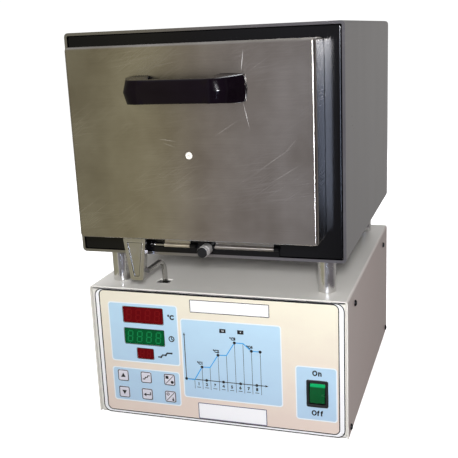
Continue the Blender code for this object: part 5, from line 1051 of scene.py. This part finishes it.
bm = bmesh.new()
bmesh.ops.create_circle(bm, cap_ends=True, segments=96, radius=roomLook["floorRadius"])
floorMesh = bpy.data.meshes.new("floor")
bm.to_mesh(floorMesh)
bm.free()
floor = bpy.data.objects.new("floor", floorMesh)
# matt white laminate on a light table: pale, with a barely visible mottling and a soft glow from below
floorMesh.materials.append(plainFinish("whiteLaminate", {
    "IOR": 1.5, "Roughness": 0.7, "Emission Color": colourOf("#ffffff"), "Emission Strength": roomLook["floorGlow"]},
    {"mottle": ((60, 60, 60), 3.0, 0.5)}, ("mottle", "#f4f3f1", "#faf9f8")))
scene.collection.objects.link(floor)
floor.visible_glossy = floor.visible_diffuse = False

for name, (place, aim, size, watts, code, mirrored, matt) in lampLook.items():
    data = bpy.data.lights.new(name, "AREA")
    data.shape, data.size, data.size_y = "RECTANGLE", size[0], size[1]
    data.energy, data.color = watts, colourOf(code)[:3]
    lamp = bpy.data.objects.new(name, data)
    lamp.location = place
    lamp.rotation_euler = (Vector(aim) - Vector(place)).to_track_quat("-Z", "Y").to_euler()
    lamp.visible_glossy, lamp.visible_diffuse, lamp.visible_camera = mirrored, matt, False
    scene.collection.objects.link(lamp)


def makeWorld(look):
    world = bpy.data.worlds.new("studio")
    scene.world = world
    world.use_nodes = True
    tree = world.node_tree
    ground = tree.nodes["Background"]
    way = addNode(tree, "ShaderNodeTexCoord").node.outputs["Generated"]
    axes = addNode(tree, "ShaderNodeSeparateXYZ", Vector=way).node.outputs
    across = addNode(tree, "ShaderNodeMapRange", {"Value": axes[0], "From Min": -1.0})
    tone = addNode(tree, "ShaderNodeValToRGB", Fac=across)
    stops = tone.node.color_ramp.elements
    for i, (at, code) in enumerate(look["around"]):
        stop = stops[i] if i < 2 else stops.new(1.0)
        stop.position, stop.color = (at + 1.0) / 2, colourOf(code)
    for axis, low, high, code in look["beyond"]:
        share = addNode(tree, "ShaderNodeMapRange", {
            "interpolation_type": "SMOOTHSTEP", "Value": axes[axis], "From Min": low, "From Max": high})
        tone = blended(tree, share, tone, code)
    tree.links.new(tone, ground.inputs["Color"])
    path = addNode(tree, "ShaderNodeLightPath").node.outputs
    fill = addNode(tree, "ShaderNodeMapRange", {"Value": path["Is Diffuse Ray"], "To Min": 1.0, "To Max": look["fill"]})
    tree.links.new(fill, ground.inputs["Strength"])
    seen = addNode(tree, "ShaderNodeBackground", {"Color": colourOf("#ffffff"), "Strength": look["backdrop"]})
    both = addNode(tree, "ShaderNodeMixShader", {0: path["Is Camera Ray"], 1: ground.outputs[0], 2: seen})
    tree.links.new(both, tree.nodes["World Output"].inputs["Surface"])


def makeCamera(look):
    # rows of the turn are the picture's right, down and forward directions
    data = bpy.data.cameras.new("camera")
    data.lens, data.sensor_width = look["lens"], look["sensor"]
    data.clip_start = 0.01
    camera = bpy.data.objects.new("camera", data)
    axes = Matrix(((1, 0, 0), (0, 0, -1), (0, 1, 0)))
    turn = (Matrix.Rotation(look["roll"], 3, "Z") @ axes @ Matrix.Rotation(look["pitch"], 3, "X")
            @ Matrix.Rotation(look["yaw"], 3, "Z"))
    right, down, forward = turn.row
    pose = Matrix((right, -down, -forward)).transposed().to_4x4()
    camera.matrix_world = Matrix.Translation(look["place"]) @ pose
    scene.collection.objects.link(camera)
    scene.camera = camera


makeWorld(roomLook)
makeCamera(cameraLook)
print("scene lit")
